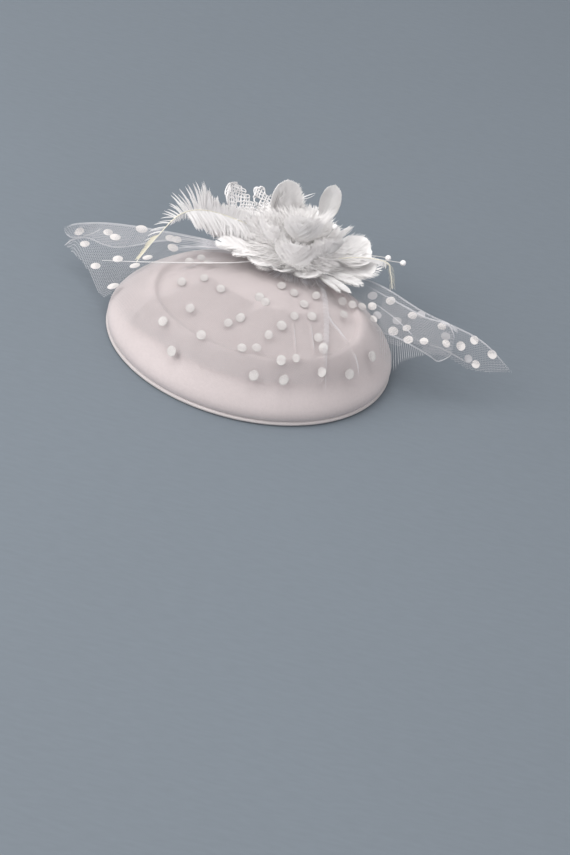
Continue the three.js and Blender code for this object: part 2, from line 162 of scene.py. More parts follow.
TAPER = 0.16  # share of a bunched thread over which it thins out towards each end

# Creases of the front net: points over the hat's plan, width, rise, and how many threads bunch.
CREASES = [
    ([(28.4, 27), (33.8, 23.5), (37.6, 6.1), (40.1, -9.2), (42.3, -28.1), (43.6, -43.2), (45.5, -54.5),
      (48.5, -64.1)], 3.2, 1.2, 5),
    ([(40, -5.9), (43.9, -13.5), (48, -18.2), (55.2, -28.1)], 1.2, 0.9, 3),
    ([(58.9, -32.4), (62.7, -37.2), (66.3, -41.7)], 1.0, 0.6, 2),
    ([(22.1, 33.5), (22.0, 24.1), (25.6, 15.8)], 2.6, 1.6, 9),
    ([(29.4, 20.7), (31.7, 30.0), (37.4, 35.4), (43.6, 28.8)], 2.2, 1.4, 8),
    ([(32.1, -20.7), (34.9, -33.7), (37.7, -45.9)], 1.4, 0.5, 1),
    ([(22.5, -25.5), (25.1, -38.1), (27.7, -50.4)], 1.2, 0.4, 1),
    ([(-4, 36.5), (-18.9, 23.4), (-32.1, 10.2)], 1.6, 0.6, 1),
    ([(-22, 26), (-35.9, 16.2), (-46.2, 5.3), (-54.7, -4.2)], 1.8, 0.6, 1),
]

# Dots over the hat: across and along, from the middle of the rim.
FRONT_DOTS = [
    (-46, -6), (-34, 2), (-23, -8), (0, -7), (4, -10), (-50, -46), (-27, -54), (-14, -38),
    (-8, -31), (-37, -32), (13, 23), (11, 11), (19, 7), (26, -2), (22, -17), (32, -12), (32, 11),
    (16, -30), (10, -41), (38, -30), (42, -39), (-3, -57), (5, -54), (20, -59), (28, -54),
    (-41, -62), (7, -70), (24, -67), (44, -55), (60, -45), (71, -24), (50, 0), (48, 15), (54, 14),
    (60, 15), (-45, 17), (-39, 24), (-34, 19),
]

# Dots on the wings: across from the middle of the rim, and down from the wing's upper edge.
LEFT_WING_DOTS = [(-114, 4), (-97, 6), (-92, 9), (-78, 1), (-60, 4), (-56, 4), (-57, 10), (-109, 14),
                  (-99, 29), (-87, 24), (-76, 30), (-70, 22), (-85, 48)]
RIGHT_WING_DOTS = [(66, 16), (76, 6), (68, 31), (90, 8), (81, 24), (88, 20), (90, 29), (108, 4),
                   (99, 23), (112, 15), (121, 10), (128, 2), (140, 2), (132, 14)]
# Dimmer dots on the right wing, whose finish is darkened with painted shade.
RIGHT_WING_FAR_DOTS = [(65, 9), (70, 20), (95, 3), (82, 16), (111, 10), (127, 14)]

# Petals: bearing, root, slope, tip slope in degrees; length, width, cup; roll in degrees; how
# square the tip is, how frayed the edge is, and how many thinner feathers lie behind.
PETALS = {
    "petal_upright_left": (140, 34, 76, 92, 28.5, 21, 3, 18, 0.05, 0.04, 2),
    "petal_upright_right": (44, 44, 74, 91.6, 29.5, 14, 2.6, -38, 0.12, 0.00, 0),
    "petal_top_front": (272, 48, 67, 84, 22, 24, 2.8, -3, 0.30, 0.13, 2),
    "petal_right_upper": (7, 12, 6, 22, 25, 27, 2.4, -13, 0.70, 0.08, 2),
    "petal_middle_front_right": (319, 23, 56, 74, 20, 21, 3, 15, 0.40, 0.13, 2),
    "petal_middle_front": (265, 9, 70, 80, 21, 23, 2.6, -3, 0.30, 0.13, 2),
    "petal_middle_front_left": (217, 23, 56, 76, 20, 22, 3, -15, 0.40, 0.13, 2),
    "petal_middle_back_right": (44, 22, 20, 30, 12, 16, 2, -12, 0.40, 0.10, 2),
    "petal_middle_back": (79, 22, 24, 38, 16, 17, 3, 0, 0.40, 0.10, 2),
    "petal_middle_back_left": (113, 22, 34, 56, 22, 16, 3, 12, 0.40, 0.16, 2),
    "petal_right_lower": (357, 2, -3, 22, 32, 20, 1.5, -12, 0.45, 0.10, 2),
    "petal_low_right_1": (333, -2, 8.5, 8, 28.4, 8, 0.6, -12, 0.15, 0.10, 2),
    "petal_low_right_2": (319, -2, 8, 6, 28, 5, 0.8, -14, 0.0, 0.08, 1),
    "petal_low_front_1": (292, 1, 15, 19, 10, 17, 1.5, -6, 0.30, 0.10, 2),
    "petal_low_front_2": (256, 1, 18, 24, 12, 15, 2, -8, 0.30, 0.10, 2),
    "petal_low_front_3": (228, 1, 9, 17, 17.2, 17.7, 2, -1, 0.30, 0.10, 2),
    "petal_low_left_1": (204.5, 4, 12.6, 8.5, 33, 13, 2.1, 10.5, 0.05, 0.16, 2),
    "petal_low_left_2": (178.5, 4, 14.3, 10, 38, 18, 1.9, 10.3, 0.0, 0.16, 2),
    "petal_low_back_1": (152, 2, 6, 22, 27, 19, 2, 12, 0.40, 0.16, 1),
    "petal_low_back_2": (121, 2, 6, 22, 27, 20, 2, 12, 0.40, 0.16, 1),
    "petal_low_back_3": (90, 0, 4, 14, 21, 20, 2, 0, 0.40, 0.12, 1),
    "petal_low_back_4": (59, 2, 2, 8, 14, 20, 2, -12, 0.40, 0.12, 1),
    "petal_low_back_5": (28, 2, 0, 10, 22, 18, 2, -12, 0.40, 0.12, 1),
}

# Petals whose finish is darkened with painted shade, as if they sat in the flower's shade, and how much
# darker it is.
SHADED = {"petal_low_right_1": 0.76, "petal_low_right_2": 0.76, "petal_upright_right": 0.82,
          "petal_right_upper": 0.92, "petal_low_left_2": 0.86}

# Small tufts that stand out of the flower: root, tip, spread, number of barbs and their width.
TUFTS = [
    ((36.0, 44, 56), (43.6, 44, 68.4), 0.7, 70, 0.6),
    ((28.5, 42, 58.8), (37.8, 44, 68), 0.5, 5, 0.5),
    ((30.5, 42, 59), (39.5, 44, 66), 0.5, 5, 0.5),
    ((26.5, 42, 58), (34.5, 44, 69.5), 0.4, 4, 0.5),
    ((9.7, 56, 70.5), (19.5, 56, 77.9), 0.2, 3, 0.3),
    ((17.0, 41, 64), (19.5, 41, 77), 1.2, 26, 0.9),
    ((-4.0, 38, 50), (-17, 37, 62), 3.4, 420, 0.6),
    ((0.0, 38, 52), (-6, 38, 66), 3.0, 320, 0.6),
    ((14.0, 32, 52), (10, 21, 63.5), 1.6, 90, 0.6),
    ((18.0, 32, 51), (18.4, 21, 61.5), 1.6, 80, 0.6),
    ((20.0, 38, 60), (30, 40, 76), 3.2, 160, 0.6),
]

# Openwork: the size of a hole and of a thread, and how much wider than its petal it is cut.
LACE = {"hole": 2.9, "thread": 1.4, "spare": 1.1}

# Openwork petals: as for the feather petals, up to how square the tip is.
LACE_PETALS = {
    "lace_petal_outer": (177, 31, 6, 70, 40.8, 21.5, 1.5, 22, 0.0),
    "lace_petal_inner": (145.6, 26, 21, 57, 26.2, 13, 1, 22, 0.40),
}

# How fine the streaks of a finish are, across and along the piece's UV map.
VANE_STREAKS = (46.0, 9.0, 1.0)
BARB_STREAKS = (3.0, 4.0, 1.0)
FLUFF_STREAKS = (60.0, 30.0, 1.0)

# Long feathers: points along the quill, then rows of barbs on it. A row runs from one share of
# the quill to another and has, at both, a direction (degrees from the right, upwards) and a
# reach; then the number of barbs, their width and which finish they take.
QUILL_LEFT = [(-3.2, 41.6, 50.4), (-22, 37, 57.8), (-43, 34, 61), (-56.7, 29, 57), (-66.4, 17, 46),
              (-74.9, 5, 33)]
BARBS_LEFT = [
    ((0.10, 0.40), (80, 94), (8, 8), 560, 0.7, "barb"),
    ((0.36, 0.46), (88, 102), (8, 19), 120, 0.8, "barb"),
    ((0.45, 0.57), (106, 143), (22, 14), 8, 1.5, "barb"),
    ((0.44, 0.58), (104, 146), (13, 8), 22, 0.5, "barb"),
    ((0.57, 0.64), (150, 176), (11, 8), 8, 0.7, "barb"),
    ((0.62, 0.80), (196, 214), (9.5, 10), 7, 0.6, "barb"),
    ((0.14, 0.46), (-80, -58), (14, 17), 700, 0.9, "barb"),
    ((0.40, 0.56), (-52, -46), (19, 13), 340, 0.8, "barb"),
    ((0.14, 0.42), (-52, -30), (14, 12), 300, 0.8, "barb"),
    ((0.44, 0.66), (-62, -104), (9, 4), 40, 0.4, "barb"),
    ((0.78, 0.97), (215, 221), (5.5, 3), 44, 0.5, "cream"),
]
QUILL_RIGHT = [(34, 40, 44.2), (52, 39.5, 51), (68, 38, 53.2), (72, 34, 48.9), (75.2, 28, 42.2)]
BARBS_RIGHT = [
    ((0.30, 0.66), (34, -20), (4, 5), 60, 0.4, "barb"),
    ((0.30, 0.66), (-4, -70), (4, 5), 60, 0.4, "barb"),
    ((0.62, 0.97), (-30, -50), (6, 4.5), 22, 0.16, "soft"),
    ((0.62, 0.97), (-84, -100), (6, 4.5), 18, 0.16, "soft"),
]
FILAMENT = [(-0.4, 31, 39.6), (-24.5, 16, 40.1), (-65, 2, 37.8), (-94, 0, 32)]
FILAMENT_RADIUS = 0.42
STAMEN_RADIUS = 0.22
STAMENS = {
    "stamen_right_long": ((34.4, 46.2, 47.6), (78.2, 44, 51.7)),
    "stamen_right_short": ((33.6, 50, 47.6), (69.1, 48, 50.2)),
    "stamen_upper": ((28.3, 39.2, 56.2), (33.4, 38, 68.2)),
}

# The studio, in metres: lamps (place, size, power, colour), all aimed at one spot, and the rings
# by which the floor's edge sweeps up (growth and rise).
LAMP_AIM = (0, 0, 0.03)
LAMPS = {
    "key": ((-1.2, -0.6, 1.0), 1.5, 21.6, (1.0, 0.99, 0.98)),
    "fill": ((0.9, -1.6, 0.9), 1.4, 7, (1.0, 0.99, 0.99)),
    "top": ((-0.35, 0.3, 1.7), 1.2, 11, (1.0, 0.99, 0.98)),
}
SURROUND = {"colour": (0.82, 0.82, 0.84), "strength": 0.9}
FLOOR_RADIUS = 2.2
FLOOR_SWEEP = ((1.12, 0.03), (1.09, 0.08), (1.06, 0.14), (1.03, 0.2), (1.0, 0.25))

rim_low, rim_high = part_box("rim_binding")
ORIGIN = np.array([
    (rim_low.x + rim_high.x) / 2,
    (rim_low.y + rim_high.y) / 2 - RIM_MIDDLE * MM,
    rim_low.z,
])


def placed(points):
    """Points given in millimetres from the middle of the rim, in metres in the part's frame."""
    return np.asarray(points, float) * MM + ORIGIN


# ---------- settings ----------

def size_setting(name, description, default, low=0.0):
    """A length in metres that a user may change."""
    return FloatProperty(name=name, description=description, default=default, min=low,
                         unit="LENGTH", precision=5)


def colour_setting(name, description, default):
    """A colour that a user may change."""
    return FloatVectorProperty(name=name, description=description, default=default, size=3,
                               min=0.0, max=1.0, subtype="COLOR")


class HatSettings(bpy.types.PropertyGroup):
    """Sizes and colours of the felt hat."""
    wall: size_setting("Wall", "Thickness of the felt", 2.5 * MM, 0.5 * MM)
    felt_colour: colour_setting("Felt", "Colour of the felt", (0.555, 0.492, 0.487))
    binding_colour: colour_setting("Binding", "Colour of the bound edge", (0.61, 0.56, 0.55))
    comb_colour: colour_setting("Comb", "Tint of the plastic comb", (0.80, 0.80, 0.78))


class VeilSettings(bpy.types.PropertyGroup):
    """Sizes and colours of the net."""
    pitch: size_setting("Pitch", "Width of one hole of the net", 1.2 * MM, 0.5 * MM)
    thread: size_setting("Thread", "Width of a net thread", 0.16 * MM, 0.05 * MM)
    dot: size_setting("Dot", "Width of a flocked dot", 5.4 * MM, 1 * MM)
    net_colour: colour_setting("Net", "Colour of the net's thread", (0.42, 0.415, 0.43))
    # The net over the felt takes a warmer tone: painted light from the felt below.
    felt_bounce_colour: colour_setting("Net on felt", "Colour of the net where it lies on the felt",
                                (0.485, 0.44, 0.44))
    dot_colour: colour_setting("Dots", "Colour of the flocked dots", (0.66, 0.63, 0.615))


class FlowerSettings(bpy.types.PropertyGroup):
    """Sizes and colours of the feather flower."""
    barb_spacing: size_setting("Barb spacing", "Distance between barbs", 0.27 * MM, 0.1 * MM)
    barb_width: size_setting("Barb width", "Width of one barb at its root", 0.42 * MM, 0.1 * MM)
    quill_radius: size_setting("Quill radius", "Half thickness of a quill", 0.45 * MM, 0.1 * MM)
    fluff: IntProperty(name="Fluff", description="Number of loose barbs in the flower's middle",
                       default=9000, min=100)
    feather_colour: colour_setting("Feathers", "Colour of the feathers", (0.95, 0.93, 0.92))
    lace_colour: colour_setting("Lace", "Colour of the lace", (0.88, 0.86, 0.855))
    quill_colour: colour_setting("Quills", "Colour of the cream quills", (0.80, 0.76, 0.64))
    pearl_colour: colour_setting("Pearls", "Colour of the pearls", (0.88, 0.87, 0.85))


class StageSettings(bpy.types.PropertyGroup):
    """Camera, floor and light."""
    distance: size_setting("Distance", "Camera to the middle of the rim", 1.3, 0.2)
    elevation: FloatProperty(name="Elevation", description="Camera above the horizon",
                             default=math.radians(34), subtype="ANGLE")
    roll: FloatProperty(name="Roll", description="How far the camera is turned about its view",
                        default=math.radians(13.5), subtype="ANGLE")
    lens: FloatProperty(name="Lens", description="Focal length in millimetres", default=92.5,
                        min=10)
    aim_right: size_setting("Aim right", "Aim point right of the rim's middle", 0.0215, -1)
    aim_down: size_setting("Aim down", "Aim point below the rim's middle", 0.0502, -1)
    floor_colour: colour_setting("Floor", "Colour of the floor", (0.15, 0.175, 0.2))


SETTINGS = {
    "fascinator_hat": HatSettings,
    "fascinator_veil": VeilSettings,
    "fascinator_flower": FlowerSettings,
    "fascinator_stage": StageSettings,
}


# ---------- node materials ----------

class Nodes:
    """Builds a node tree: makes nodes, sets their inputs and links them."""

    def __init__(self, name):
        self.material = bpy.data.materials.new(name)
        self.material.use_nodes = True
        self.tree = self.material.node_tree
        self.shader = self.tree.nodes["Principled BSDF"]

    def node(self, kind, inputs=None, **settings):
        """A new node with its settings, whose inputs take a value or a link each."""
        made = self.tree.nodes.new(kind)
        for key, value in settings.items():
            setattr(made, key, value)
        for key, value in (inputs or {}).items():
            if isinstance(value, bpy.types.NodeSocket):
                self.tree.links.new(value, made.inputs[key])
            else:
                made.inputs[key].default_value = value
        return made

    def coordinates(self, kind="Object", scale=(1, 1, 1)):
        """Coordinates of a kind, stretched by a scale."""
        place = self.node("ShaderNodeTexCoord").outputs[kind]
        return self.node("ShaderNodeMapping", {"Vector": place, "Scale": scale}).outputs["Vector"]

    def noise(self, vector, scale, detail=3.0, rough=0.55):
        """Cloudy noise around one half."""
        return self.node("ShaderNodeTexNoise", {
            "Vector": vector, "Scale": scale, "Detail": detail, "Roughness": rough,
        }).outputs["Fac"]

    def ramp(self, value, low, high, to_low=0.0, to_high=1.0):
        """A value carried over from one range to another."""
        return self.node("ShaderNodeMapRange", {
            "Value": value, "From Min": low, "From Max": high, "To Min": to_low, "To Max": to_high,
        }).outputs["Result"]

    def reckon(self, first, second, operation="ADD"):
        """The sum of two values, or what another operation makes of them."""
        return self.node("ShaderNodeMath", {0: first, 1: second}, operation=operation).outputs[0]

    def blend(self, share, first, second):
        """A colour that runs from the first to the second with a share."""
        mix = self.node("ShaderNodeMix", data_type="RGBA")
        self.tree.links.new(share, mix.inputs["Factor"])
        mix.inputs[6].default_value = (*first, 1)
        mix.inputs[7].default_value = (*second, 1)
        return mix.outputs[2]

    def tones(self, colour, pattern, low, high, dark, light):
        """A darker to a lighter tone of a colour, as a pattern rises from low to high."""
        return self.blend(self.ramp(pattern, low, high), tinted(colour, dark), tinted(colour, light))

    def finish(self, colour, grain, rough, bump, strength, distance, **fixed):
        """Links colour, roughness and bump to the shader; what is even all over is set on it.

        The roughness runs between two values with the grain, a noise around one half.
        """
        links = self.tree.links
        roughness = self.ramp(grain, 0.3, 0.7, *rough)
        links.new(colour, self.shader.inputs["Base Color"])
        links.new(roughness, self.shader.inputs["Roughness"])
        normal = self.node("ShaderNodeBump", {
            "Height": bump, "Strength": strength, "Distance": distance,
        }).outputs["Normal"]
        links.new(normal, self.shader.inputs["Normal"])
        for key, value in fixed.items():
            self.shader.inputs[key.replace("_", " ")].default_value = value
        return self.material


def tinted(colour, factor):
    """A colour made lighter or darker."""
    return tuple(min(1.0, channel * factor) for channel in colour)


def felt_material(colour):
    """Pressed wool: a soft nap of short fibres over faint clouding."""
    n = Nodes("pressed_felt")
    place = n.coordinates()
    clouds = n.noise(place, 40, 4)
    fibres = n.noise(n.coordinates(scale=(1, 1, 2.5)), 1500, 5, 0.7)
    nap = n.noise(place, 520, 4, 0.65)
    mottle = n.reckon(n.reckon(clouds, fibres), nap)
    shade = n.tones(colour, mottle, 1.1, 1.9, 0.94, 1.05)
    height = n.reckon(fibres, n.reckon(nap, 1.4, "MULTIPLY"))
    return n.finish(shade, fibres, rough=(0.88, 1.0), bump=height, strength=0.35, distance=0.0002,
                    Sheen_Weight=0.35, Sheen_Roughness=0.5, Specular_IOR_Level=0.2)


def ribbon_material(colour):
    """Bias-cut ribbon with fine ribs across it, read from the piece's own UV map."""
    n = Nodes("bias_binding")
    weave = n.node("ShaderNodeTexWave", {
        "Vector": n.coordinates("UV"), "Scale": 260.0, "Distortion": 0.6, "Detail": 2.0,
        "Detail Scale": 3.0,
    }, wave_type="BANDS", bands_direction="DIAGONAL").outputs["Fac"]
    clouds = n.noise(n.coordinates(), 90, 3)
    shade = n.tones(colour, n.reckon(weave, clouds), 0.3, 1.5, 0.9, 1.06)
    return n.finish(shade, clouds, rough=(0.44, 0.56), bump=weave, strength=0.4, distance=0.00015,
                    Sheen_Weight=0.15)


def thread_material(name, colour):
    """Fine nylon thread of the net, a little uneven along its length."""
    n = Nodes(name)
    place = n.coordinates()
    twist = n.noise(place, 2600, 2)
    drift = n.noise(place, 60, 3)
    shade = n.tones(colour, n.reckon(twist, drift), 0.7, 1.3, 0.93, 1.07)
    return n.finish(shade, twist, rough=(0.45, 0.65), bump=twist, strength=0.2, distance=0.0001,
                    Specular_IOR_Level=0.6, Sheen_Weight=0.2)


def flock_material(name, colour):
    """Flocked dots: short upright fibres that look matt and grainy."""
    n = Nodes(name)
    place = n.coordinates()
    grain = n.noise(place, 3200, 4, 0.7)
    clouds = n.noise(place, 300, 2)
    shade = n.tones(colour, n.reckon(grain, clouds), 0.7, 1.3, 0.92, 1.05)
    return n.finish(shade, grain, rough=(0.85, 1.0), bump=grain, strength=0.5, distance=0.0003,
                    Sheen_Weight=0.1, Specular_IOR_Level=0.2)


def feather_material(name, colour, shadow, streaks):
    """Feather: fine streaks that run with the barbs, on the piece's own UV map."""
    n = Nodes(name)
    along = n.noise(n.coordinates("UV", streaks), 1.0, 3, 0.6)
    clouds = n.noise(n.coordinates(), 160, 3)
    shade = n.blend(n.ramp(n.reckon(along, clouds), 0.75, 1.25), shadow, colour)
    return n.finish(shade, along, rough=(0.7, 0.9), bump=along, strength=0.35, distance=0.00012,
                    Sheen_Weight=0.9, Sheen_Roughness=0.4, Specular_IOR_Level=0.25)


def cotton_material(colour):
    """Lace thread with a tight twist."""
    n = Nodes("lace_cotton")
    place = n.coordinates()
    twist = n.node("ShaderNodeTexWave", {
        "Vector": place, "Scale": 1300.0, "Distortion": 4.0, "Detail": 2.0,
    }, wave_type="BANDS", bands_direction="DIAGONAL").outputs["Fac"]
    fuzz = n.noise(place, 1800, 3)
    shade = n.tones(colour, n.reckon(twist, fuzz), 0.4, 1.5, 0.86, 1.06)
    return n.finish(shade, fuzz, rough=(0.7, 0.9), bump=twist, strength=0.4, distance=0.0001,
                    Sheen_Weight=0.2)


def quill_material(name, colour):
    """Horn of a quill, darker in patches and faintly lined."""
    n = Nodes(name)
    lines = n.noise(n.coordinates(), 700, 3)
    patches = n.noise(n.coordinates(), 70, 2)
    shade = n.tones(colour, n.reckon(lines, patches), 0.75, 1.3, 0.88, 1.1)
    return n.finish(shade, lines, rough=(0.35, 0.55), bump=lines, strength=0.2, distance=0.0001,
                    Coat_Weight=0.15, Coat_Roughness=0.3)


def pearl_material(colour):
    """Coated pearl: a soft body under a clear gloss, with slow shifts of tint."""
    n = Nodes("pearl_coat")
    place = n.coordinates()
    drift = n.noise(place, 500, 3)
    shade = n.blend(n.ramp(drift, 0.35, 0.65), tinted(colour, 0.95), (0.93, 0.90, 0.90))
    return n.finish(shade, drift, rough=(0.18, 0.28), bump=drift, strength=0.1, distance=0.0001,
                    Coat_Weight=0.8, Coat_Roughness=0.08, Sheen_Weight=0.1)


def plastic_material(colour):
    """Clear moulded plastic with faint flow lines."""
    n = Nodes("clear_comb")
    place = n.coordinates(scale=(1, 0.15, 1))
    flow = n.noise(place, 260, 3)
    shade = n.tones(colour, flow, 0.35, 0.65, 0.96, 1.05)
    return n.finish(shade, flow, rough=(0.12, 0.25), bump=flow, strength=0.15, distance=0.0002,
                    Transmission_Weight=0.8, IOR=1.49)


def floor_material(colour):
    """Matt cloth-like floor with a faint broken weave."""
    n = Nodes("pale_floor")
    weave = n.noise(n.coordinates(scale=(0.25, 1, 1)), 420, 3)
    clouds = n.noise(n.coordinates(), 3, 3)
    shade = n.tones(colour, n.reckon(weave, clouds), 0.7, 1.3, 0.96, 1.04)
    return n.finish(shade, clouds, rough=(0.85, 0.95), bump=weave, strength=0.1, distance=0.0004)


# ---------- working on meshes ----------

def select_only(*pieces):
    """Deselects everything and makes the pieces the only selected objects."""
    if bpy.context.mode != "OBJECT":
        bpy.ops.object.mode_set(mode="OBJECT")
    bpy.ops.object.select_all(action="DESELECT")
    for piece in pieces:
        piece.select_set(True)
    bpy.context.view_layer.objects.active = pieces[0]


def edit(piece, kind="VERT", chosen="DESELECT"):
    """Enters edit mode on one piece with nothing selected in it, or with all of it."""
    select_only(piece)
    bpy.ops.object.mode_set(mode="EDIT")
    bpy.ops.mesh.select_mode(type=kind)
    bpy.ops.mesh.select_all(action=chosen)


def pick(piece, test):
    """Selects the vertices of the piece in edit mode whose place passes the test."""
    mesh = bmesh.from_edit_mesh(piece.data)
    mesh.select_mode = {"VERT"}
    for vertex in mesh.verts:
        vertex.select = bool(test(vertex.co))
    mesh.select_flush_mode()
    bmesh.update_edit_mesh(piece.data)


def leave_edit():
    """Back to object mode."""
    bpy.ops.object.mode_set(mode="OBJECT")


def modify(piece, kind, **settings):
    """Adds a modifier, sets it and applies it."""
    select_only(piece)
    made = piece.modifiers.new(kind.title(), kind)
    for key, value in settings.items():
        setattr(made, key, value)
    bpy.ops.object.modifier_apply(modifier=made.name)


def settle(piece, matrix=None):
    """Gives the piece a place and puts it into its mesh."""
    if matrix is not None:
        piece.matrix_world = matrix
    select_only(piece)
    bpy.ops.object.transform_apply(location=True, rotation=True, scale=True)


def named(piece, name):
    """Names a piece and its mesh."""
    piece.name = name
    piece.data.name = name
    return piece


def piece_from(name, points, faces, finish, uv=None):
    """A mesh piece from points in metres, with its finish and maybe a UV pair for each point."""
    mesh = bpy.data.meshes.new(name)
    mesh.from_pydata(np.asarray(points, float).tolist(), [], faces)
    if uv is not None:
        corners = np.zeros(len(mesh.loops), np.int32)
        mesh.loops.foreach_get("vertex_index", corners)
        layer = mesh.uv_layers.new(name="UVMap")
        layer.data.foreach_set("uv", np.asarray(uv, np.float32)[corners].ravel())
    piece = bpy.data.objects.new(name, mesh)
    bpy.context.scene.collection.objects.link(piece)
    paint(piece, finish)
    return piece


def shape_of(piece):
    """Points and faces of a shape that is to be repeated; the piece itself is taken away."""
    points = np.array([vertex.co for vertex in piece.data.vertices])
    faces = [list(face.vertices) for face in piece.data.polygons]
    bpy.data.objects.remove(piece)
    return points, faces


def joined(name, pieces):
    """Several pieces made one."""
    select_only(*pieces)
    if len(pieces) > 1:
        bpy.ops.object.join()
    return named(bpy.context.view_layer.objects.active, name)


def paint(piece, finish):
    """Gives the whole piece one finish."""
    piece.data.materials.clear()
    piece.data.materials.append(finish)


def smooth(piece, degrees):
    """Smooth shading, with edges sharper than the angle kept."""
    select_only(piece)
    bpy.ops.object.shade_smooth_by_angle(angle=math.radians(degrees))


def keep_with(piece, node):
    """The piece rides on the hat and stands for a CAD node, which is hidden."""
    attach(piece, BODY)
    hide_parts(node)


def smooth_line(points, count):
    """Points evenly placed in turn along a smooth curve through the given points."""
    knots = np.asarray(points, float)
    padded = np.vstack([2 * knots[0] - knots[1], knots, 2 * knots[-1] - knots[-2]])
    place = np.linspace(0, len(knots) - 1, count)
    row = np.minimum(place.astype(int), len(knots) - 2)
    t = (place - row)[:, None]
    a, b, c, d = (padded[row + k] for k in range(4))
    return 0.5 * (2 * b + (c - a) * t + (2 * a - 5 * b + 4 * c - d) * t**2
                  + (3 * b - a - 3 * c + d) * t**3)


def strand(name, points, radius, tip=1.0):
    """A round strand through points in millimetres, narrowing to a share of its radius at its tip."""
    curve = bpy.data.curves.new(name, "CURVE")
    curve.dimensions = "3D"
    curve.bevel_depth = radius
    curve.bevel_resolution = 2
    curve.use_fill_caps = True
    spline = curve.splines.new("POLY")
    spline.points.add(len(points) - 1)
    shares = np.linspace(0, 1, len(points))
    for point, spot, share in zip(spline.points, placed(points), shares):
        point.co = (*spot, 1)
        point.radius = 1 + (tip - 1) * share
    piece = bpy.data.objects.new(name, curve)
    bpy.context.scene.collection.objects.link(piece)
    select_only(piece)
    bpy.ops.object.convert(target="MESH")
    return bpy.context.view_layer.objects.active


# ---------- hat ----------

def build_hat_base(settings):
    """The felt shell: an oval drawn up ring by ring to the dome, then given its wall."""
    half_width, half_depth, middle, height = HAT_RINGS[0]
    centre = placed((0, middle, height))
    bpy.ops.mesh.primitive_circle_add(vertices=96, radius=half_width * MM, location=centre)
    hat = named(bpy.context.object, "felt_hat")
    bpy.ops.object.transform_apply()
    edit(hat, chosen="SELECT")
    bpy.ops.transform.resize(value=(1, half_depth / half_width, 1), center_override=centre)
    for ring, next_ring in zip(HAT_RINGS, HAT_RINGS[1:]):
        widths, depths, middles, heights = zip(ring, next_ring)
        bpy.ops.mesh.extrude_edges_move()
        bpy.ops.transform.resize(value=(widths[1] / widths[0], depths[1] / depths[0], 1),
                                 center_override=placed((0, middles[0], heights[0])))
        bpy.ops.transform.translate(
            value=(0, (middles[1] - middles[0]) * MM, (heights[1] - heights[0]) * MM))
    bpy.ops.mesh.extrude_edges_move()
    bpy.ops.transform.translate(value=(0, 0, (DOME_TOP - HAT_RINGS[-1][3]) * MM))
    bpy.ops.mesh.merge(type="CENTER")
    bpy.ops.mesh.select_all(action="SELECT")
    bpy.ops.mesh.normals_make_consistent(inside=False)
    leave_edit()
    modify(hat, "SOLIDIFY", thickness=settings.wall, offset=-1, use_even_offset=True)
    modify(hat, "SUBSURF", levels=1, render_levels=1)
    smooth(hat, 60)
    paint(hat, felt_material(settings.felt_colour))
    keep_with(hat, "hat_base")


def build_rim_binding(settings):
    """The narrow bound edge: a round roll, pressed flat where it stands."""
    half_width, half_depth, middle, _ = HAT_RINGS[0]
    wall = settings.wall / MM
    across = half_width - wall / 2 + BINDING["out"]
    along = half_depth - wall / 2 + BINDING["out"]
    roll = BINDING["width"] / 2
    centre = placed((0, middle, BINDING["height"] / 2))
    bpy.ops.mesh.primitive_torus_add(major_segments=220, minor_segments=14, location=centre,
                                     major_radius=across * MM, minor_radius=roll * MM)
    binding = named(bpy.context.object, "bound_rim")
    bpy.ops.object.transform_apply()
    edit(binding, chosen="SELECT")
    bpy.ops.transform.resize(value=(1, along / across, BINDING["height"] / BINDING["width"]),
                             center_override=centre)
    foot = ORIGIN[2] + 0.25 * MM
    pick(binding, lambda co: co.z < foot)
    bpy.ops.transform.resize(value=(1, 1, 0), center_override=(centre[0], centre[1], ORIGIN[2]))
    leave_edit()
    smooth(binding, 60)
    paint(binding, ribbon_material(settings.binding_colour))
    keep_with(binding, "rim_binding")


# ---------- net ----------

def rest_height(x, y):
    """Height at which the net rests over the hat, at each (x, y)."""
    x, y = np.asarray(x, float), np.asarray(y, float)
    size = NET_RINGS[:, 0]
    reach = np.stack([np.hypot(x / width, (y - middle) / depth) - 1 for width, depth, middle, _ in NET_RINGS])
    outer = np.clip((reach <= 0).sum(0) - 1, 0, len(NET_RINGS) - 2)
    inside = -np.take_along_axis(reach, outer[None], 0)[0] * size[outer]
    beyond = np.take_along_axis(reach, outer[None] + 1, 0)[0] * size[outer + 1]
    share = np.clip(inside / np.maximum(inside + beyond, 1e-9), 0, 1)
    last = len(NET_RINGS) - 1
    places = np.linspace(0, last, 30 * last + 1)
    heights = smooth_line(NET_RINGS[:, 3:], len(places))[:, 0]
    return np.interp(outer + share, places, heights)


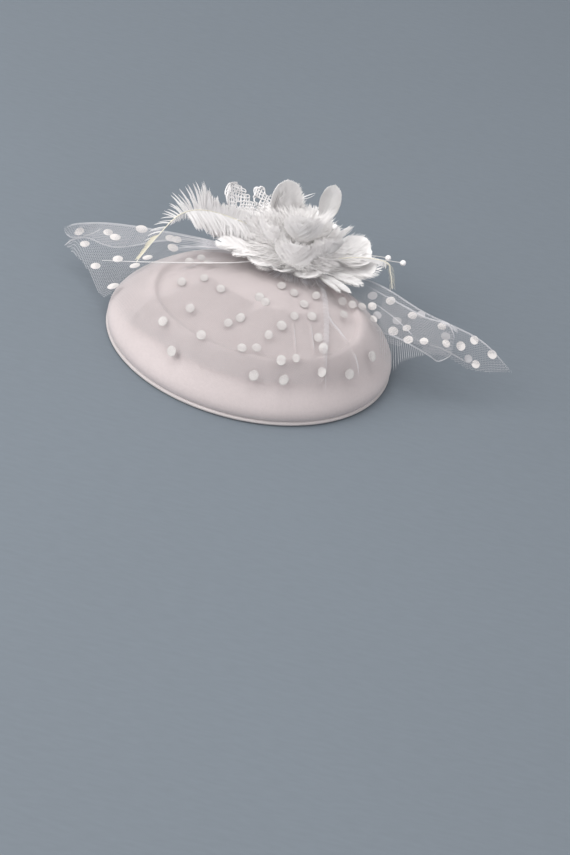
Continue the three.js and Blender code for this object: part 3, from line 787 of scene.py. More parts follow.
def honeycomb(low, high, pitch, thread, keep, lift, turn=0.0):
    """Net of six-sided holes: the corners of its threads in place, and its faces.

    keep says which knots lie inside the cut, and lift puts flat points in their place. Each
    upright thread runs from a foot to a top, and every knot is a small three-sided face.
    """
    side = pitch / math.sqrt(3)
    rows = np.arange(math.floor(low[1] / (1.5 * side)), math.ceil(high[1] / (1.5 * side)) + 1)
    columns = np.arange(math.floor(low[0] / pitch) - 1, math.ceil(high[0] / pitch) + 2)
    row, column = np.meshgrid(rows, columns, indexing="ij")
    odd = row % 2
    foot = np.stack([pitch * (column + 0.5 * odd), 1.5 * side * row], axis=-1)
    top = foot + np.array([0, side])
    spin = np.array([[math.cos(turn), math.sin(turn)], [-math.sin(turn), math.cos(turn)]])

    def corners(knots, first):
        angles = np.radians(first + 120 * np.arange(3))
        spread = np.stack([np.cos(angles), np.sin(angles)], axis=-1) * thread / math.sqrt(3)
        return (knots[..., None, :] + spread).reshape(-1, 2) @ spin

    flat = np.concatenate([corners(foot, 30), corners(top, 90)])
    shape = row.shape
    number = np.arange(row.size).reshape(shape)
    keep_foot = keep(*(foot @ spin).reshape(-1, 2).T).reshape(shape)
    keep_top = keep(*(top @ spin).reshape(-1, 2).T).reshape(shape)
    used_foot = np.zeros(row.size, bool)
    used_top = np.zeros(row.size, bool)

    def foot_corner(knots, k):
        return knots * 3 + k

    def top_corner(knots, k):
        return (knots + row.size) * 3 + k

    a = number[keep_foot & keep_top]
    quads = [np.stack([foot_corner(a, 1), foot_corner(a, 0), top_corner(a, 2), top_corner(a, 1)], 1)]
    used_foot[a] = True
    used_top[a] = True
    # Slanting threads: from each top to the foot up on its right, then to the one up on its left.
    for back, (top_start, foot_start, foot_end, top_end) in ((0, (2, 2, 1, 0)), (1, (0, 0, 2, 1))):
        there = column - columns[0] + odd - back
        fits = (there >= 0) & (there < shape[1]) & (row < rows[-1])
        next_row = np.minimum(row - rows[0] + 1, shape[0] - 1)
        ends = number[next_row, np.clip(there, 0, shape[1] - 1)]
        both = fits & keep_top & keep_foot.ravel()[ends]
        a, b = number[both], ends[both]
        quads.append(np.stack([top_corner(a, top_start), foot_corner(b, foot_start),
                               foot_corner(b, foot_end), top_corner(a, top_end)], 1))
        used_top[a] = True
        used_foot[b] = True
    knots = np.concatenate([np.flatnonzero(used_foot), np.flatnonzero(used_top) + row.size])
    threes = knots[:, None] * 3 + np.arange(3)
    fours = np.concatenate(quads)
    used, new = np.unique(np.concatenate([threes.ravel(), fours.ravel()]), return_inverse=True)
    faces = new[:threes.size].reshape(-1, 3).tolist() + new[threes.size:].reshape(-1, 4).tolist()
    return lift(*flat[used].T), faces


def at_x(points):
    """A curve through points, read as (y, z) at a given x."""
    line = smooth_line(points, 400)
    line = line[np.argsort(line[:, 0])]

    def read(x):
        return np.interp(x, line[:, 0], line[:, 1]), np.interp(x, line[:, 0], line[:, 2])
    return read


def ragged(place):
    """How far a cut edge strays inwards, 0 to about 1, along it."""
    place = np.asarray(place, float)
    return 0.5 + 0.25 * np.sin(place * 2.3) + 0.15 * np.sin(place * 5.1 + 1) + 0.1 * np.sin(place * 11.7 + 2)


def gather_point(bearing):
    """Where the net leaves the flower's foot at a bearing."""
    turn = math.radians(bearing)
    x, y = FLOWER + GATHER["radius"] * np.array([math.cos(turn), math.sin(turn)])
    return (float(x), float(y), float(rest_height(x, y)))


class FrontNet:
    """The net over the front of the hat, as a height over the hat's plan."""

    def __init__(self):
        hem = smooth_line(HEM_FRONT, 300)
        out = hem[:, :2] - FLOWER
        bearings = np.degrees(np.arctan2(out[:, 1], out[:, 0])) % 360
        order = np.argsort(bearings)
        self.bearings, self.reaches = bearings[order], np.hypot(*out.T)[order]
        self.heights = hem[order, 2]
        self.creases = [(smooth_line(points, 30), width, rise) for points, width, rise, _ in CREASES]

    def polar(self, x, y):
        """Bearing from the flower, and the share of the way from its foot to the hem."""
        out_x, out_y = x - FLOWER[0], y - FLOWER[1]
        bearing = np.degrees(np.arctan2(out_y, out_x)) % 360
        reach = np.interp(bearing, self.bearings, self.reaches)
        return bearing, (np.hypot(out_x, out_y) - GATHER["radius"]) / (reach - GATHER["radius"])

    def height(self, x, y):
        """Height of the net: straight to the hem or resting on the hat, with creases and waves."""
        bearing, share = self.polar(x, y)
        start = rest_height(FLOWER[0] + GATHER["radius"] * np.cos(np.radians(bearing)),
                            FLOWER[1] + GATHER["radius"] * np.sin(np.radians(bearing)))
        hem = np.interp(bearing, self.bearings, self.heights)
        level = np.maximum(start + (hem - start) * share, rest_height(x, y))
        for line, width, rise in self.creases:
            off = np.min(np.hypot(x[..., None] - line[:, 0], y[..., None] - line[:, 1]), axis=-1)
            level = level + rise * np.exp(-(off / (0.6 * width)) ** 2)
        waves = np.sin(np.radians(bearing * 11)) + 0.6 * np.sin(np.radians(bearing * 19) + 1)
        return level + 0.45 * waves * np.sin(math.pi * np.clip(share, 0, 1))

    def lift(self, x, y, raised=0.0):
        """Points of the net over the hat's plan, or a little above or below it."""
        return np.stack([x, y, self.height(x, y) + raised], axis=-1)

    def inside(self, x, y):
        """Whether a point lies between both seams, the gather and the ragged hem."""
        bearing, share = self.polar(x, y)
        out = np.clip(share, 0, 1)
        left = GATHER["left_seam"] + (self.bearings[0] - GATHER["left_seam"]) * out
        right = GATHER["right_seam"] + (self.bearings[-1] - GATHER["right_seam"]) * out
        cut = 1 - 0.02 * ragged(bearing)
        return (share > -0.04) & (share < cut) & (bearing > left - 0.3) & (bearing < right + 0.3)

    def under(self, x, y):
        """Whether a point lies where a second layer of net shows under the first."""
        bearing, share = self.polar(x, y)
        return (bearing > 222) & (bearing < 300) & (share > 0.42) & (share < 0.995)


class WingNet:
    """A sheet of net between two edges, read at x and at a distance down from its upper edge.

    first and last are its ends in x, and forward says how far it stands in front of its edges.
    """

    def __init__(self, upper, lower, first, last, forward=0.0):
        self.upper, self.lower = at_x(upper), at_x(lower)
        self.first, self.last, self.forward = first, last, forward

    def edges(self, x):
        """Points of the upper and of the lower edge at each x."""
        return [np.stack([np.asarray(x, float), *edge(x)], axis=-1) for edge in (self.upper, self.lower)]

    def depth(self, x):
        """Length of the sheet from its upper to its lower edge at each x."""
        upper, lower = self.edges(x)
        return np.linalg.norm(lower - upper, axis=-1)

    def longest(self):
        """The sheet's greatest depth."""
        return self.depth(np.linspace(self.first, self.last, 100)).max()

    def lift(self, x, down):
        """Points of the sheet, which sags in soft waves between its edges and rests on the hat."""
        upper, lower = self.edges(x)
        length = np.maximum(self.depth(x), 1e-6)
        point = upper + (lower - upper) / length[..., None] * np.asarray(down)[..., None]
        point[..., 1] -= self.forward
        point[..., 2] += self.forward * 0.5
        sag = np.sin(np.clip(np.asarray(down) / length, 0, 1) * math.pi)
        waves = 0.6 * np.sin(x * 0.16) + 0.35 * np.sin(x * 0.41 + down * 0.1)
        point[..., 1] += sag * waves
        point[..., 2] = np.maximum(point[..., 2], rest_height(point[..., 0], point[..., 1]))
        return point

    def inside(self, x, down):
        """Whether a point lies on the sheet, clear of the flower's foot and of the ragged hem."""
        point = self.lift(x, down)
        clear = np.hypot(point[..., 0] - FLOWER[0], point[..., 1] - FLOWER[1]) > GATHER["radius"] - 1
        cut = self.depth(x) - 0.9 * ragged(x)
        return (x > self.first) & (x < self.last) & (down > -0.1) & (down < cut) & clear

    def pleats(self, first, last, shares):
        """Lines that fan out from the flower along the sheet."""
        x = np.linspace(first, last, 40)
        return [self.lift(x, share * self.depth(x)) + (0, -0.3, 0.3) for share in shares]

    def net(self, pitch, thread):
        """The sheet's net."""
        return honeycomb((self.first, 0), (self.last, self.longest()), pitch, thread, self.inside, self.lift)


def dot_shape():
    """One flocked dot a unit wide, thin and domed, to be repeated."""
    bpy.ops.mesh.primitive_circle_add(vertices=14, radius=0.5, fill_type="NGON")
    dot = named(bpy.context.object, "dot_shape")
    edit(dot, "FACE", chosen="SELECT")
    bpy.ops.mesh.extrude_region_move(TRANSFORM_OT_translate={"value": (0, 0, 0.025)})
    bpy.ops.mesh.inset(thickness=0.07, depth=0.02)
    bpy.ops.mesh.inset(thickness=0.18, depth=0.01)
    leave_edit()
    return shape_of(dot)


def dots_on(surface, spots, size, shape, seed, tall, deep, front):
    """Dots laid on a surface at spots given in its own flat coordinates.

    tall and deep say how long a dot is for its width where the net stands and where it lies flat,
    and front how far it is turned to face forwards.
    """
    rng = np.random.default_rng(seed)
    points, faces = [], []
    unit, unit_faces = shape
    step = 0.5
    forwards = np.array([0, -0.5, 0.85])
    for s, t in spots:
        here = surface(np.array([s, s + step, s]), np.array([t, t, t + step]))
        across, along = here[1] - here[0], here[2] - here[0]
        across /= np.linalg.norm(across)
        face = np.cross(across, along)
        face /= np.linalg.norm(face)
        face += front * forwards * math.copysign(1, face[2] - face[1])
        face /= np.linalg.norm(face)
        across -= face * across.dot(face)
        across /= np.linalg.norm(across)
        along = np.cross(face, across)
        start = sum(len(block) for block in points)
        turn = rng.uniform(0, math.tau)
        cos, sin = math.cos(turn), math.sin(turn)
        uneven = np.array([rng.uniform(0.92, 1.08), rng.uniform(0.92, 1.08), 1])
        spun = (unit * uneven) @ np.array([[cos, sin, 0], [-sin, cos, 0], [0, 0, 1]])
        spun[:, 1] *= tall + (deep - tall) * face[2] ** 2
        points.append(here[0] + spun * size * rng.uniform(0.9, 1.06) @ np.stack([across, along, face]))
        faces += [[start + corner for corner in loop] for loop in unit_faces]
    return np.concatenate(points), faces


def thread_lines(lines, width):
    """Flat threads along lines of points, lying across their run and thinning out at both ends."""
    points, faces = [], []
    start = 0
    for line in lines:
        line = np.asarray(line, float)
        run = np.gradient(line, axis=0)
        across = np.cross(run, (0, -0.7, 0.7))
        across /= np.maximum(np.linalg.norm(across, axis=1, keepdims=True), 1e-9)
        count = len(line)
        share = np.linspace(0, 1, count)[:, None]
        half = across * width / 2 * np.clip(np.minimum(share, 1 - share) / TAPER, 0.15, 1)
        points += [line - half, line + half]
        faces += [[start + k, start + k + 1, start + count + k + 1, start + count + k]
                  for k in range(count - 1)]
        start += 2 * count
    return np.concatenate(points), faces


def crease_lines(front):
    """Bunched threads that follow each crease of the front net and end unevenly."""
    rng = np.random.default_rng(SEEDS["creases"])
    lines = []
    count = 30
    for points, width, _, threads in CREASES:
        line = smooth_line(points, count)
        across = np.gradient(line, axis=0)[:, ::-1] * (1, -1)
        across /= np.linalg.norm(across, axis=1, keepdims=True)
        for shift in (np.arange(threads) + 0.5) / threads - 0.5:
            first, last = rng.integers(0, 5), count - rng.integers(0, 9)
            x, y = (line + across * shift * width)[first:last].T
            lines.append(front.lift(x, y, RAISED["crease"]))
    return lines


def foot_pleats(front):
    # These pleats take the gathered finish, painted lighter to lift the shade round the flower's foot.
    """Short folds of the gathered net round the foot of the flower."""
    rng = np.random.default_rng(SEEDS["foot_pleats"])
    lines = []
    count = 210
    for bearing in np.linspace(200, 328, count) + rng.uniform(-0.5, 0.5, count):
        turn = math.radians(bearing)
        away = GATHER["radius"] + np.linspace(-0.5, rng.uniform(5, 15), 14)
        x, y = FLOWER[0] + away * math.cos(turn), FLOWER[1] + away * math.sin(turn)
        lines.append(front.lift(x, y, RAISED["pleat"]))
    return lines


def veil_piece(name, settings, materials, nets, folds, dots):
    """One piece of veil: nets, lines of folds and dots, each under the name of its finish."""
    threads = [(finish, thread_lines(lines, settings.thread / MM)) for finish, lines in folds]
    parts = []
    for finish, (points, faces) in nets + threads + dots:
        parts.append(piece_from(name, placed(points), faces, materials[finish]))
    return joined(name, parts)


def keep_sheet(piece, node):
    """The piece stands for a node of the veil."""
    keep_with(piece, node)


def fold_bundle(points, rows=3, spread=0.3):
    """Threads that lie close together along a folded edge."""
    line = smooth_line(points, 60)
    shifts = [(k - (rows - 1) / 2) * spread for k in range(rows)]
    return [line + np.array([0, shift * 0.5, shift]) for shift in shifts]


def lower_edge(bearing, hem):
    """A wing's lower edge: the seam from the flower's foot at a bearing, then the hem."""
    seam = [gather_point(bearing), hem[0]]
    return smooth_line(seam, 30).tolist() + smooth_line(hem, 60).tolist()[1:]


def build_front_net(settings, materials, shape):
    """The net over the front of the hat, in part with a second layer under it."""
    pitch, thread = settings.pitch / MM, settings.thread / MM
    front = FrontNet()
    main = honeycomb((-90, -78), (88, 52), pitch, thread, front.inside, front.lift)
    under = honeycomb((-95, -95), (95, 60), pitch, thread, front.under,
                      lambda x, y: front.lift(x, y, RAISED["under"]), turn=0.12)
    dots = dots_on(lambda x, y: front.lift(x, y, RAISED["dot"]), FRONT_DOTS, settings.dot / MM,
                   shape, SEEDS["front_dots"], tall=1.0, deep=1.4, front=0.2)
    piece = veil_piece("veil_over_front", settings, materials, [("warm", main), ("warm", under)],
                       [("fold", crease_lines(front)), ("gather", foot_pleats(front))],
                       [("soft_dot", dots)])
    keep_sheet(piece, "veil_front")


def build_left_wing(settings, materials, shape):
    """The veil's left end, with a band folded over its upper edge."""
    pitch, thread = settings.pitch / MM, settings.thread / MM
    top = [gather_point(GATHER["left_top"]), *TOP_EDGE_LEFT]
    tip_top = [top[0], *TIP_EDGE_LEFT]
    full = WingNet(top, lower_edge(GATHER["left_low"], HEM_LEFT), first=-121, last=2)
    band = WingNet(tip_top, LEFT_FOLD, first=-123.2, last=-39, forward=1.2)
    folds = fold_bundle(tip_top) + fold_bundle(LEFT_FOLD)
    folds += full.pleats(-4, -34, (0.3, 0.38, 0.46)) + full.pleats(-4, -62, (0.07, 0.2, 0.34, 0.42))
    for line in LEFT_TIP_LINES:
        folds += fold_bundle(line)
    gathered = full.pleats(-2, -46, np.linspace(0.0, 0.22, 24))
    gathered += full.pleats(-2, -58, np.linspace(0.02, 0.3, 9))
    dots = dots_on(full.lift, LEFT_WING_DOTS, settings.dot / MM * 1.22, shape,
                   SEEDS["left_dots"], tall=0.6, deep=0.75, front=1.0)
    piece = veil_piece("veil_wing_left", settings, materials,
                       [("net", full.net(pitch, thread)), ("net", band.net(pitch, thread))],
                       [("fold", folds), ("gather", gathered)], [("dot", dots)])
    keep_sheet(piece, "veil_left_wing")


def build_right_wing(settings, materials, shape):
    """The veil's right end: a sheet, a band folded over it, and loose threads at its cut edge."""
    pitch, thread = settings.pitch / MM, settings.thread / MM
    top = [gather_point(GATHER["right_top"]), *TOP_EDGE_RIGHT]
    low = lower_edge(GATHER["right_low"], HEM_RIGHT)
    full = WingNet(top, low, first=28, last=154)
    band = WingNet(RIGHT_BAND_TOP, RIGHT_BAND_FOLD, first=70.8, last=116.2, forward=1.0)
    fold_line = at_x(RIGHT_BAND_FOLD)

    def above_flare(x, down):
        """Whether a point lies on the sheet, and not where only loose threads hang."""
        fold = np.stack([np.asarray(x, float), *fold_line(x)], axis=-1)
        depth = np.linalg.norm(fold - full.edges(x)[0], axis=-1)
        return full.inside(x, down) & ((x < FLARE[0]) | (x > FLARE[1]) | (down < depth))

    sheet = honeycomb((-10, -70), (180, full.longest() + 20), pitch, thread, above_flare, full.lift,
                      turn=0.3)
    folds = []
    for line in (top, RIGHT_BAND_TOP, RIGHT_BAND_FOLD, RIGHT_LOW_FOLD):
        folds += fold_bundle(line)
    folds += fold_bundle(RIGHT_INNER_LINE, 2) + fold_bundle(RIGHT_HIGHLIGHT, 6)
    flare = []
    edges = smooth_line(RIGHT_BAND_FOLD, 90), np.array(low)
    for place in FLARE_THREADS:
        ends = [[np.interp(place, edge @ HANG, edge[:, k]) for k in range(3)] for edge in edges]
        flare += fold_bundle(ends, 2, 0.2)
    dots = []
    for finish, spots, seed in (("dot", RIGHT_WING_DOTS, "right_dots"),
                                ("far_dot", RIGHT_WING_FAR_DOTS, "far_dots")):
        dots.append((finish, dots_on(full.lift, spots, settings.dot / MM * 1.02, shape,
                                     SEEDS[seed], tall=0.85, deep=1.05, front=0.6)))
    piece = veil_piece("veil_wing_right", settings, materials,
                       [("shade", sheet), ("shade", band.net(pitch * 1.08, thread))],
                       [("fold", folds), ("net", flare)], dots)
    keep_sheet(piece, "veil_right_wing")


def build_veil(settings):
    """The veil in three pieces: the net over the front and the two wings."""
    net, dot = settings.net_colour, settings.dot_colour
    materials = {
        "net": thread_material("net_thread", net),
        # Fold threads are painted lighter than the net: a painted highlight along folds and creases.
        "fold": thread_material("fold_thread_painted_highlight", tinted(net, 1.35)),
        # Gathered threads are painted much lighter: painted light over the shade round the flower's foot.
        "gather": thread_material("gathered_thread_painted_light", tinted(net, 1.8)),
        # The right wing's net is painted darker: painted shade.
        "shade": thread_material("shaded_thread", tinted(net, 0.82)),
        # The net over the felt is painted warmer: painted light from the felt below.
        "warm": thread_material("felt_bounce_thread", settings.felt_bounce_colour),
        "dot": flock_material("flocked_dot", dot),
        # Dots over the hat are painted darker than those on the wings: painted shade.
        "soft_dot": flock_material("soft_dot", tinted(dot, 0.82)),
        # Dimmer dots on the right wing take the net's grey: painted shade.
        "far_dot": flock_material("far_dot", net),
    }
    shape = dot_shape()
    for build in (build_front_net, build_left_wing, build_right_wing):
        build(settings, materials, shape)


# ---------- feathers ----------

def outline(along, blunt):
    """Half width of a petal at a share of its length, as a share of its widest."""
    along = np.asarray(along, float)
    widest, narrow, square = 0.62, 0.3, 0.8 * blunt
    rise = np.clip((along + 0.05) / (widest + 0.05), 0, 1)
    rising = narrow + (1 - narrow) * rise * rise * (3 - 2 * rise)
    over = np.clip((along - widest) / (1 - widest), 0, 1)
    falling = np.sqrt(1 - over**2) * (1 - square) + square
    return np.where(along < widest, rising, falling)


def barb_shape():
    """One barb a unit long and wide, tapering to a point, to be repeated."""
    bpy.ops.mesh.primitive_plane_add(size=1, location=(0, 0.5, 0))
    barb = named(bpy.context.object, "barb_shape")
    bpy.ops.object.transform_apply()
    edit(barb, "EDGE")
    pick(barb, lambda co: co.y > 0.9)
    bpy.ops.transform.translate(value=(0, -0.78, 0))
    for step, share in ((0.24, 0.92), (0.22, 0.8), (0.18, 0.6)):
        bpy.ops.mesh.extrude_edges_move()
        bpy.ops.transform.translate(value=(0, step, 0))
        bpy.ops.transform.resize(value=(share, 1, 1), center_override=(0, 0, 0))
    bpy.ops.mesh.extrude_edges_move()
    bpy.ops.transform.translate(value=(0, 0.14, 0))
    bpy.ops.mesh.merge(type="CENTER")
    leave_edit()
    return shape_of(barb)


def many(faces, step, count):
    """The faces of a shape repeated: each copy's corners are numbered a step after the last one's."""
    blocks = []
    for face in faces:
        blocks += (np.asarray(face)[None] + np.arange(count)[:, None] * step).tolist()
    return blocks


def barbs_between(shape, roots, tips, widths, facings, bend, lift):
    """Barbs from roots to tips in millimetres, each facing a way.

    bend and lift say by what share of its length a barb curves sideways and towards its face.
    """
    unit, faces = shape
    run = tips - roots
    length = np.linalg.norm(run, axis=1, keepdims=True)
    along = run / np.maximum(length, 1e-9)
    face = facings - (facings * along).sum(1, keepdims=True) * along
    face /= np.maximum(np.linalg.norm(face, axis=1, keepdims=True), 1e-9)
    across = np.cross(along, face)
    out = unit[:, 1][None, :, None]
    side = unit[:, 0][None, :, None]
    bow = 4 * out * (1 - out)
    points = (roots[:, None] + run[:, None] * out + across[:, None] * side * widths[:, None, None]
              + across[:, None] * bow * (bend * length[:, 0])[:, None, None]
              + face[:, None] * bow * (lift * length[:, 0])[:, None, None])
    # Each barb reads its own strip of the pattern.
    uv = np.stack(np.broadcast_arrays(unit[None, :, 0] + 0.5 + np.arange(len(roots))[:, None] * 0.37,
                                      unit[None, :, 1] + 0 * roots[:, :1]), axis=-1)
    return points.reshape(-1, 3), many(faces, len(unit), len(roots)), uv.reshape(-1, 2)


def outline_spots(blunt, width, length, count, rng):
    """Spots on one half of a petal's outline, from root to tip, and their share of the way."""
    side = np.linspace(0.06, 1, 60)
    edge = np.column_stack([outline(side, blunt) * width / 2, side * length])
    end = np.linspace(1, 0, 14)[1:]
    cap = np.column_stack([edge[-1, 0] * end, length * (1 + 0.035 * (1 - end**2))])
    path = np.vstack([edge, cap])
    run = np.concatenate([[0], np.cumsum(np.hypot(*np.diff(path, axis=0).T))])
    at = np.sort(rng.uniform(0, run[-1], count) * 0.3 + np.linspace(0, run[-1], count) * 0.7)
    return np.column_stack([np.interp(at, run, path[:, k]) for k in range(2)]), at / run[-1]


def vane(shape, length, width, blunt, fray, spacing, barb_width, rng):
    """Barbs of one flat feather, standing in the xz plane with its root at the origin."""
    count = int(length * 1.25 / spacing)
    clumps = 40
    roots, tips, facings = [], [], []
    for side in (1, -1):
        for front in (1, -1):
            # Barbs end on the outline, except that a frayed feather's clumps lean and stray.
            spots, share = outline_spots(blunt, width, length, count, rng)
            clump = (share * 13 + rng.uniform(0, 1)).astype(int)
            lean = rng.normal(0, 0.06 * min(1.0, fray * 6), clumps)[clump]
            grow = 1 + fray * (1.2 * rng.random(count) ** 2 + rng.uniform(-0.4, 0.3, clumps)[clump])
            grow = 1 + (grow - 1) * np.clip(share * 2.2, 0.35, 1)
            x, z = spots[:, 0], spots[:, 1]
            # They leave the quill at a slant that steepens towards the tip.
            sweep = np.radians(np.interp(share, [0, 1], [50, 24]))
            base = np.clip(z - x / np.tan(sweep) * 0.9, 0.01 * length, 0.93 * length)
            run_x, run_z = x, z - base
            angle = np.arctan2(run_x, run_z) + lean + rng.normal(0, 0.012 + 0.14 * fray, count)
            reach = np.hypot(run_x, run_z) * grow
            tip_x, tip_z = reach * np.sin(angle) * side, base + reach * np.cos(angle)
            level = front * (0.16 + 0.3 * rng.random(count))
            loose = front * fray * reach * 0.2 * rng.random(count)
            roots.append(np.column_stack([np.zeros(count), level * 0.8, base]))
            tips.append(np.column_stack([tip_x, level + loose, tip_z]))
            facings.append(np.array([0, front, 0]) + rng.normal(0, 0.08 + 0.35 * fray, (count, 3)))
    roots, tips, facings = (np.concatenate(block) for block in (roots, tips, facings))
    total = len(roots)
    widths = barb_width * rng.uniform(0.7, 1.25, total)
    bend = rng.normal(0.0, 0.02, total) - 0.035 * np.sign(tips[:, 0]) * np.sign(facings[:, 1])
    return barbs_between(shape, roots, tips, widths, facings, bend, rng.uniform(0.0, 0.03, total))


def upright_grid(name, width, length, columns, rows):
    """A flat grid, in millimetres, that stands in the xz plane with its foot at the origin."""
    bpy.ops.mesh.primitive_grid_add(x_subdivisions=columns, y_subdivisions=rows, size=1,
                                    rotation=(math.pi / 2, 0, 0))
    grid = named(bpy.context.object, name)
    grid.scale = (width * MM, length * MM, 1)
    bpy.ops.object.transform_apply()
    grid.location = (0, 0, length * MM / 2)
    bpy.ops.object.transform_apply()
    return grid


def draw_in(grid, length, rows, blunt, kept=1.0):
    """Draws each row of a grid in edit mode in to a petal's outline, or to a share of it."""
    for k in range(rows + 1):
        share = k / rows
        level = share * length * MM
        pick(grid, lambda co: abs(co.z - level) < 0.2 * length * MM / rows)
        narrow = float(outline(share, blunt)) * kept
        bpy.ops.transform.resize(value=(narrow, 1, 1), center_override=(0, 0, level))


def vane_shell(name, length, width, blunt, spare):
    """The body of a flat feather: a grid drawn in to its outline, then given a wall."""
    rows = 14
    length = length * (1 - 0.5 * spare)
    shell = upright_grid(name, width, length, 8, rows)
    edit(shell)
    draw_in(shell, length, rows, blunt, 0.97 * (1 - spare))
    pick(shell, lambda co: abs(co.x) < 1e-6 and co.z > (length - 0.1) * MM)
    bpy.ops.transform.translate(value=(0, 0, 0.03 * length * MM))
    leave_edit()
    modify(shell, "SOLIDIFY", thickness=0.22 * MM, offset=0)
    modify(shell, "BEVEL", width=0.1 * MM, segments=1, angle_limit=math.radians(60))
    return shell


def quill_rod(name, length, radius):
    """The tapering quill down the middle of a feather: a narrow cone drawn in at its tip."""
    bpy.ops.mesh.primitive_cone_add(vertices=6, radius1=radius * MM, radius2=0.25 * radius * MM,
                                    depth=length * 0.94 * MM, location=(0, 0, length * 0.47 * MM))
    rod = named(bpy.context.object, name)
    bpy.ops.object.transform_apply()
    modify(rod, "BEVEL", width=0.1 * MM, segments=1, angle_limit=math.radians(60))
    edit(rod, "FACE")
    for cut in np.linspace(0.12, 0.88, 7):
        bpy.ops.mesh.select_all(action="SELECT")
        bpy.ops.mesh.bisect(plane_co=(0, 0, cut * length * MM), plane_no=(0, 0, 1))
    leave_edit()
    return rod


def puff_seat(root, clearance=1.0):
    """Distance from the flower's axis and height of a spot just off the puff."""
    lift = math.radians(root)
    normal = np.array([math.cos(lift) / PUFF["radius"], math.sin(lift) / PUFF["rise"]])
    normal /= np.linalg.norm(normal)
    spot = np.array([PUFF["radius"] * math.cos(lift), PUFF["middle"] + PUFF["rise"] * math.sin(lift)])
    return spot + normal * clearance


def seat_matrix(bearing, root, slope, inward=0.0):
    """Place and turn of a feather whose root sits on the puff and leaves it at a slope."""
    turn, first = math.radians(bearing), math.radians(slope)
    out = np.array([math.cos(turn), math.sin(turn), 0])
    side = np.array([-out[1], out[0], 0])
    up = np.array([0, 0, 1])
    normal = -math.sin(first) * out + math.cos(first) * up
    along = math.cos(first) * out + math.sin(first) * up
    distance, height = puff_seat(root)
    spot = placed([FLOWER[0], FLOWER[1], height]) + out * distance * MM - along * inward * MM
    matrix = np.eye(4)
    matrix[:3] = np.column_stack([side, normal, along, spot])
    return Matrix(matrix.tolist())


def bent_into_place(piece, length, width, cup, roll, slope, tip_slope, matrix):
    """Cups a flat feather across, rolls it, curls it along its length and seats it."""
    spread = np.array([vertex.co for vertex in piece.data.vertices])
    size = np.ptp(spread, axis=0)
    across = 2 * cup / (width / 2) ** 2 * size[0] / MM
    modify(piece, "SIMPLE_DEFORM", deform_method="BEND", deform_axis="Z", angle=across)
    settle(piece, Matrix.Rotation(-math.radians(roll), 4, "Z"))
    height = np.ptp(np.array([vertex.co.z for vertex in piece.data.vertices]))
    curl = math.radians(tip_slope - slope) * height / (length * MM)
    modify(piece, "SIMPLE_DEFORM", deform_method="BEND", deform_axis="X", angle=curl)
    settle(piece, matrix)


def feather_petal(name, spec, settings, shape, finishes, rng):
    """One petal: a feather with thinner and looser ones close behind it."""
    bearing, root, slope, tip_slope, length, width, cup, roll, blunt, fray, behind = spec
    spacing, barb_width = settings.barb_spacing / MM, settings.barb_width / MM
    feathers = []
    for number in range(behind + 1):
        swing, dip, long_share, wide_share, loose = 0.0, 0.0, 1.0, 1.0, fray
        if number:
            swing = rng.uniform(6, 13) * (-1) ** number
            dip = rng.uniform(-7, 5)
            long_share, wide_share = rng.uniform(0.76, 0.98), rng.uniform(0.45, 0.7)
            loose = fray + 0.08
        spare = 0.2 if loose > 0.08 else 0.0
        real_length, real_width = length * long_share, width * wide_share
        shell = vane_shell(name, real_length, real_width, blunt, spare)
        paint(shell, finishes["vane"])
        rod = quill_rod(name, real_length * (1 - 0.3 * spare), 0.3)
        paint(rod, finishes["vane"])
        points, faces, uv = vane(shape, real_length, real_width * 0.99, blunt, loose, spacing,
                                 barb_width, rng)
        barbs = piece_from(name, points * MM, faces, finishes["barb"], uv)
        flat = joined(name, [shell, rod, barbs])
        bent_into_place(flat, real_length, real_width, cup * wide_share, roll, slope + dip,
                        tip_slope + dip, seat_matrix(bearing + swing, root, slope + dip, inward=number * 0.6))
        feathers.append(flat)
    petal = joined(f"{name}_feathers", feathers)
    smooth(petal, 50)
    keep_with(petal, name)


def petal_finishes(name, colour, barb_shadow):
    """Finishes of a petal's body and of its barbs."""
    return {
        "vane": feather_material(f"{name}_vane", colour, tinted(colour, 0.96), VANE_STREAKS),
        "barb": feather_material(f"{name}_barb", colour, tinted(colour, barb_shadow), BARB_STREAKS),
    }


def build_petals(settings):
    """Every feather petal of the flower, each its own piece."""
    shape = barb_shape()
    colour = settings.feather_colour
    finishes = petal_finishes("feather", colour, 0.95)
    for number, (name, spec) in enumerate(PETALS.items()):
        rng = np.random.default_rng(SEEDS["petals"] + number)
        used = finishes
        # A petal listed in SHADED gets its own finish, darkened with painted shade.
        if name in SHADED:
            used = petal_finishes(name, tinted(colour, SHADED[name]), 0.92)
        feather_petal(name, spec, settings, shape, used, rng)


def tuft(shape, root, tip, spread, count, width, rng):
    """Barbs that start close together and end around a tip, all in millimetres."""
    roots = np.array(root) + rng.normal(0, 0.3 * spread, (count, 3))
    tips = np.array(tip) + rng.normal(0, spread, (count, 3)) * (1, 0.4, 0.6)
    reach = rng.uniform(0.7, 1.0, (count, 1))
    facings = np.array([0, -0.8, 0.6]) + rng.normal(0, 0.2, (count, 3))
    return barbs_between(shape, roots, roots + (tips - roots) * reach,
                         width * rng.uniform(0.7, 1.1, count), facings, rng.normal(0, 0.05, count),
                         rng.normal(0, 0.03, count))


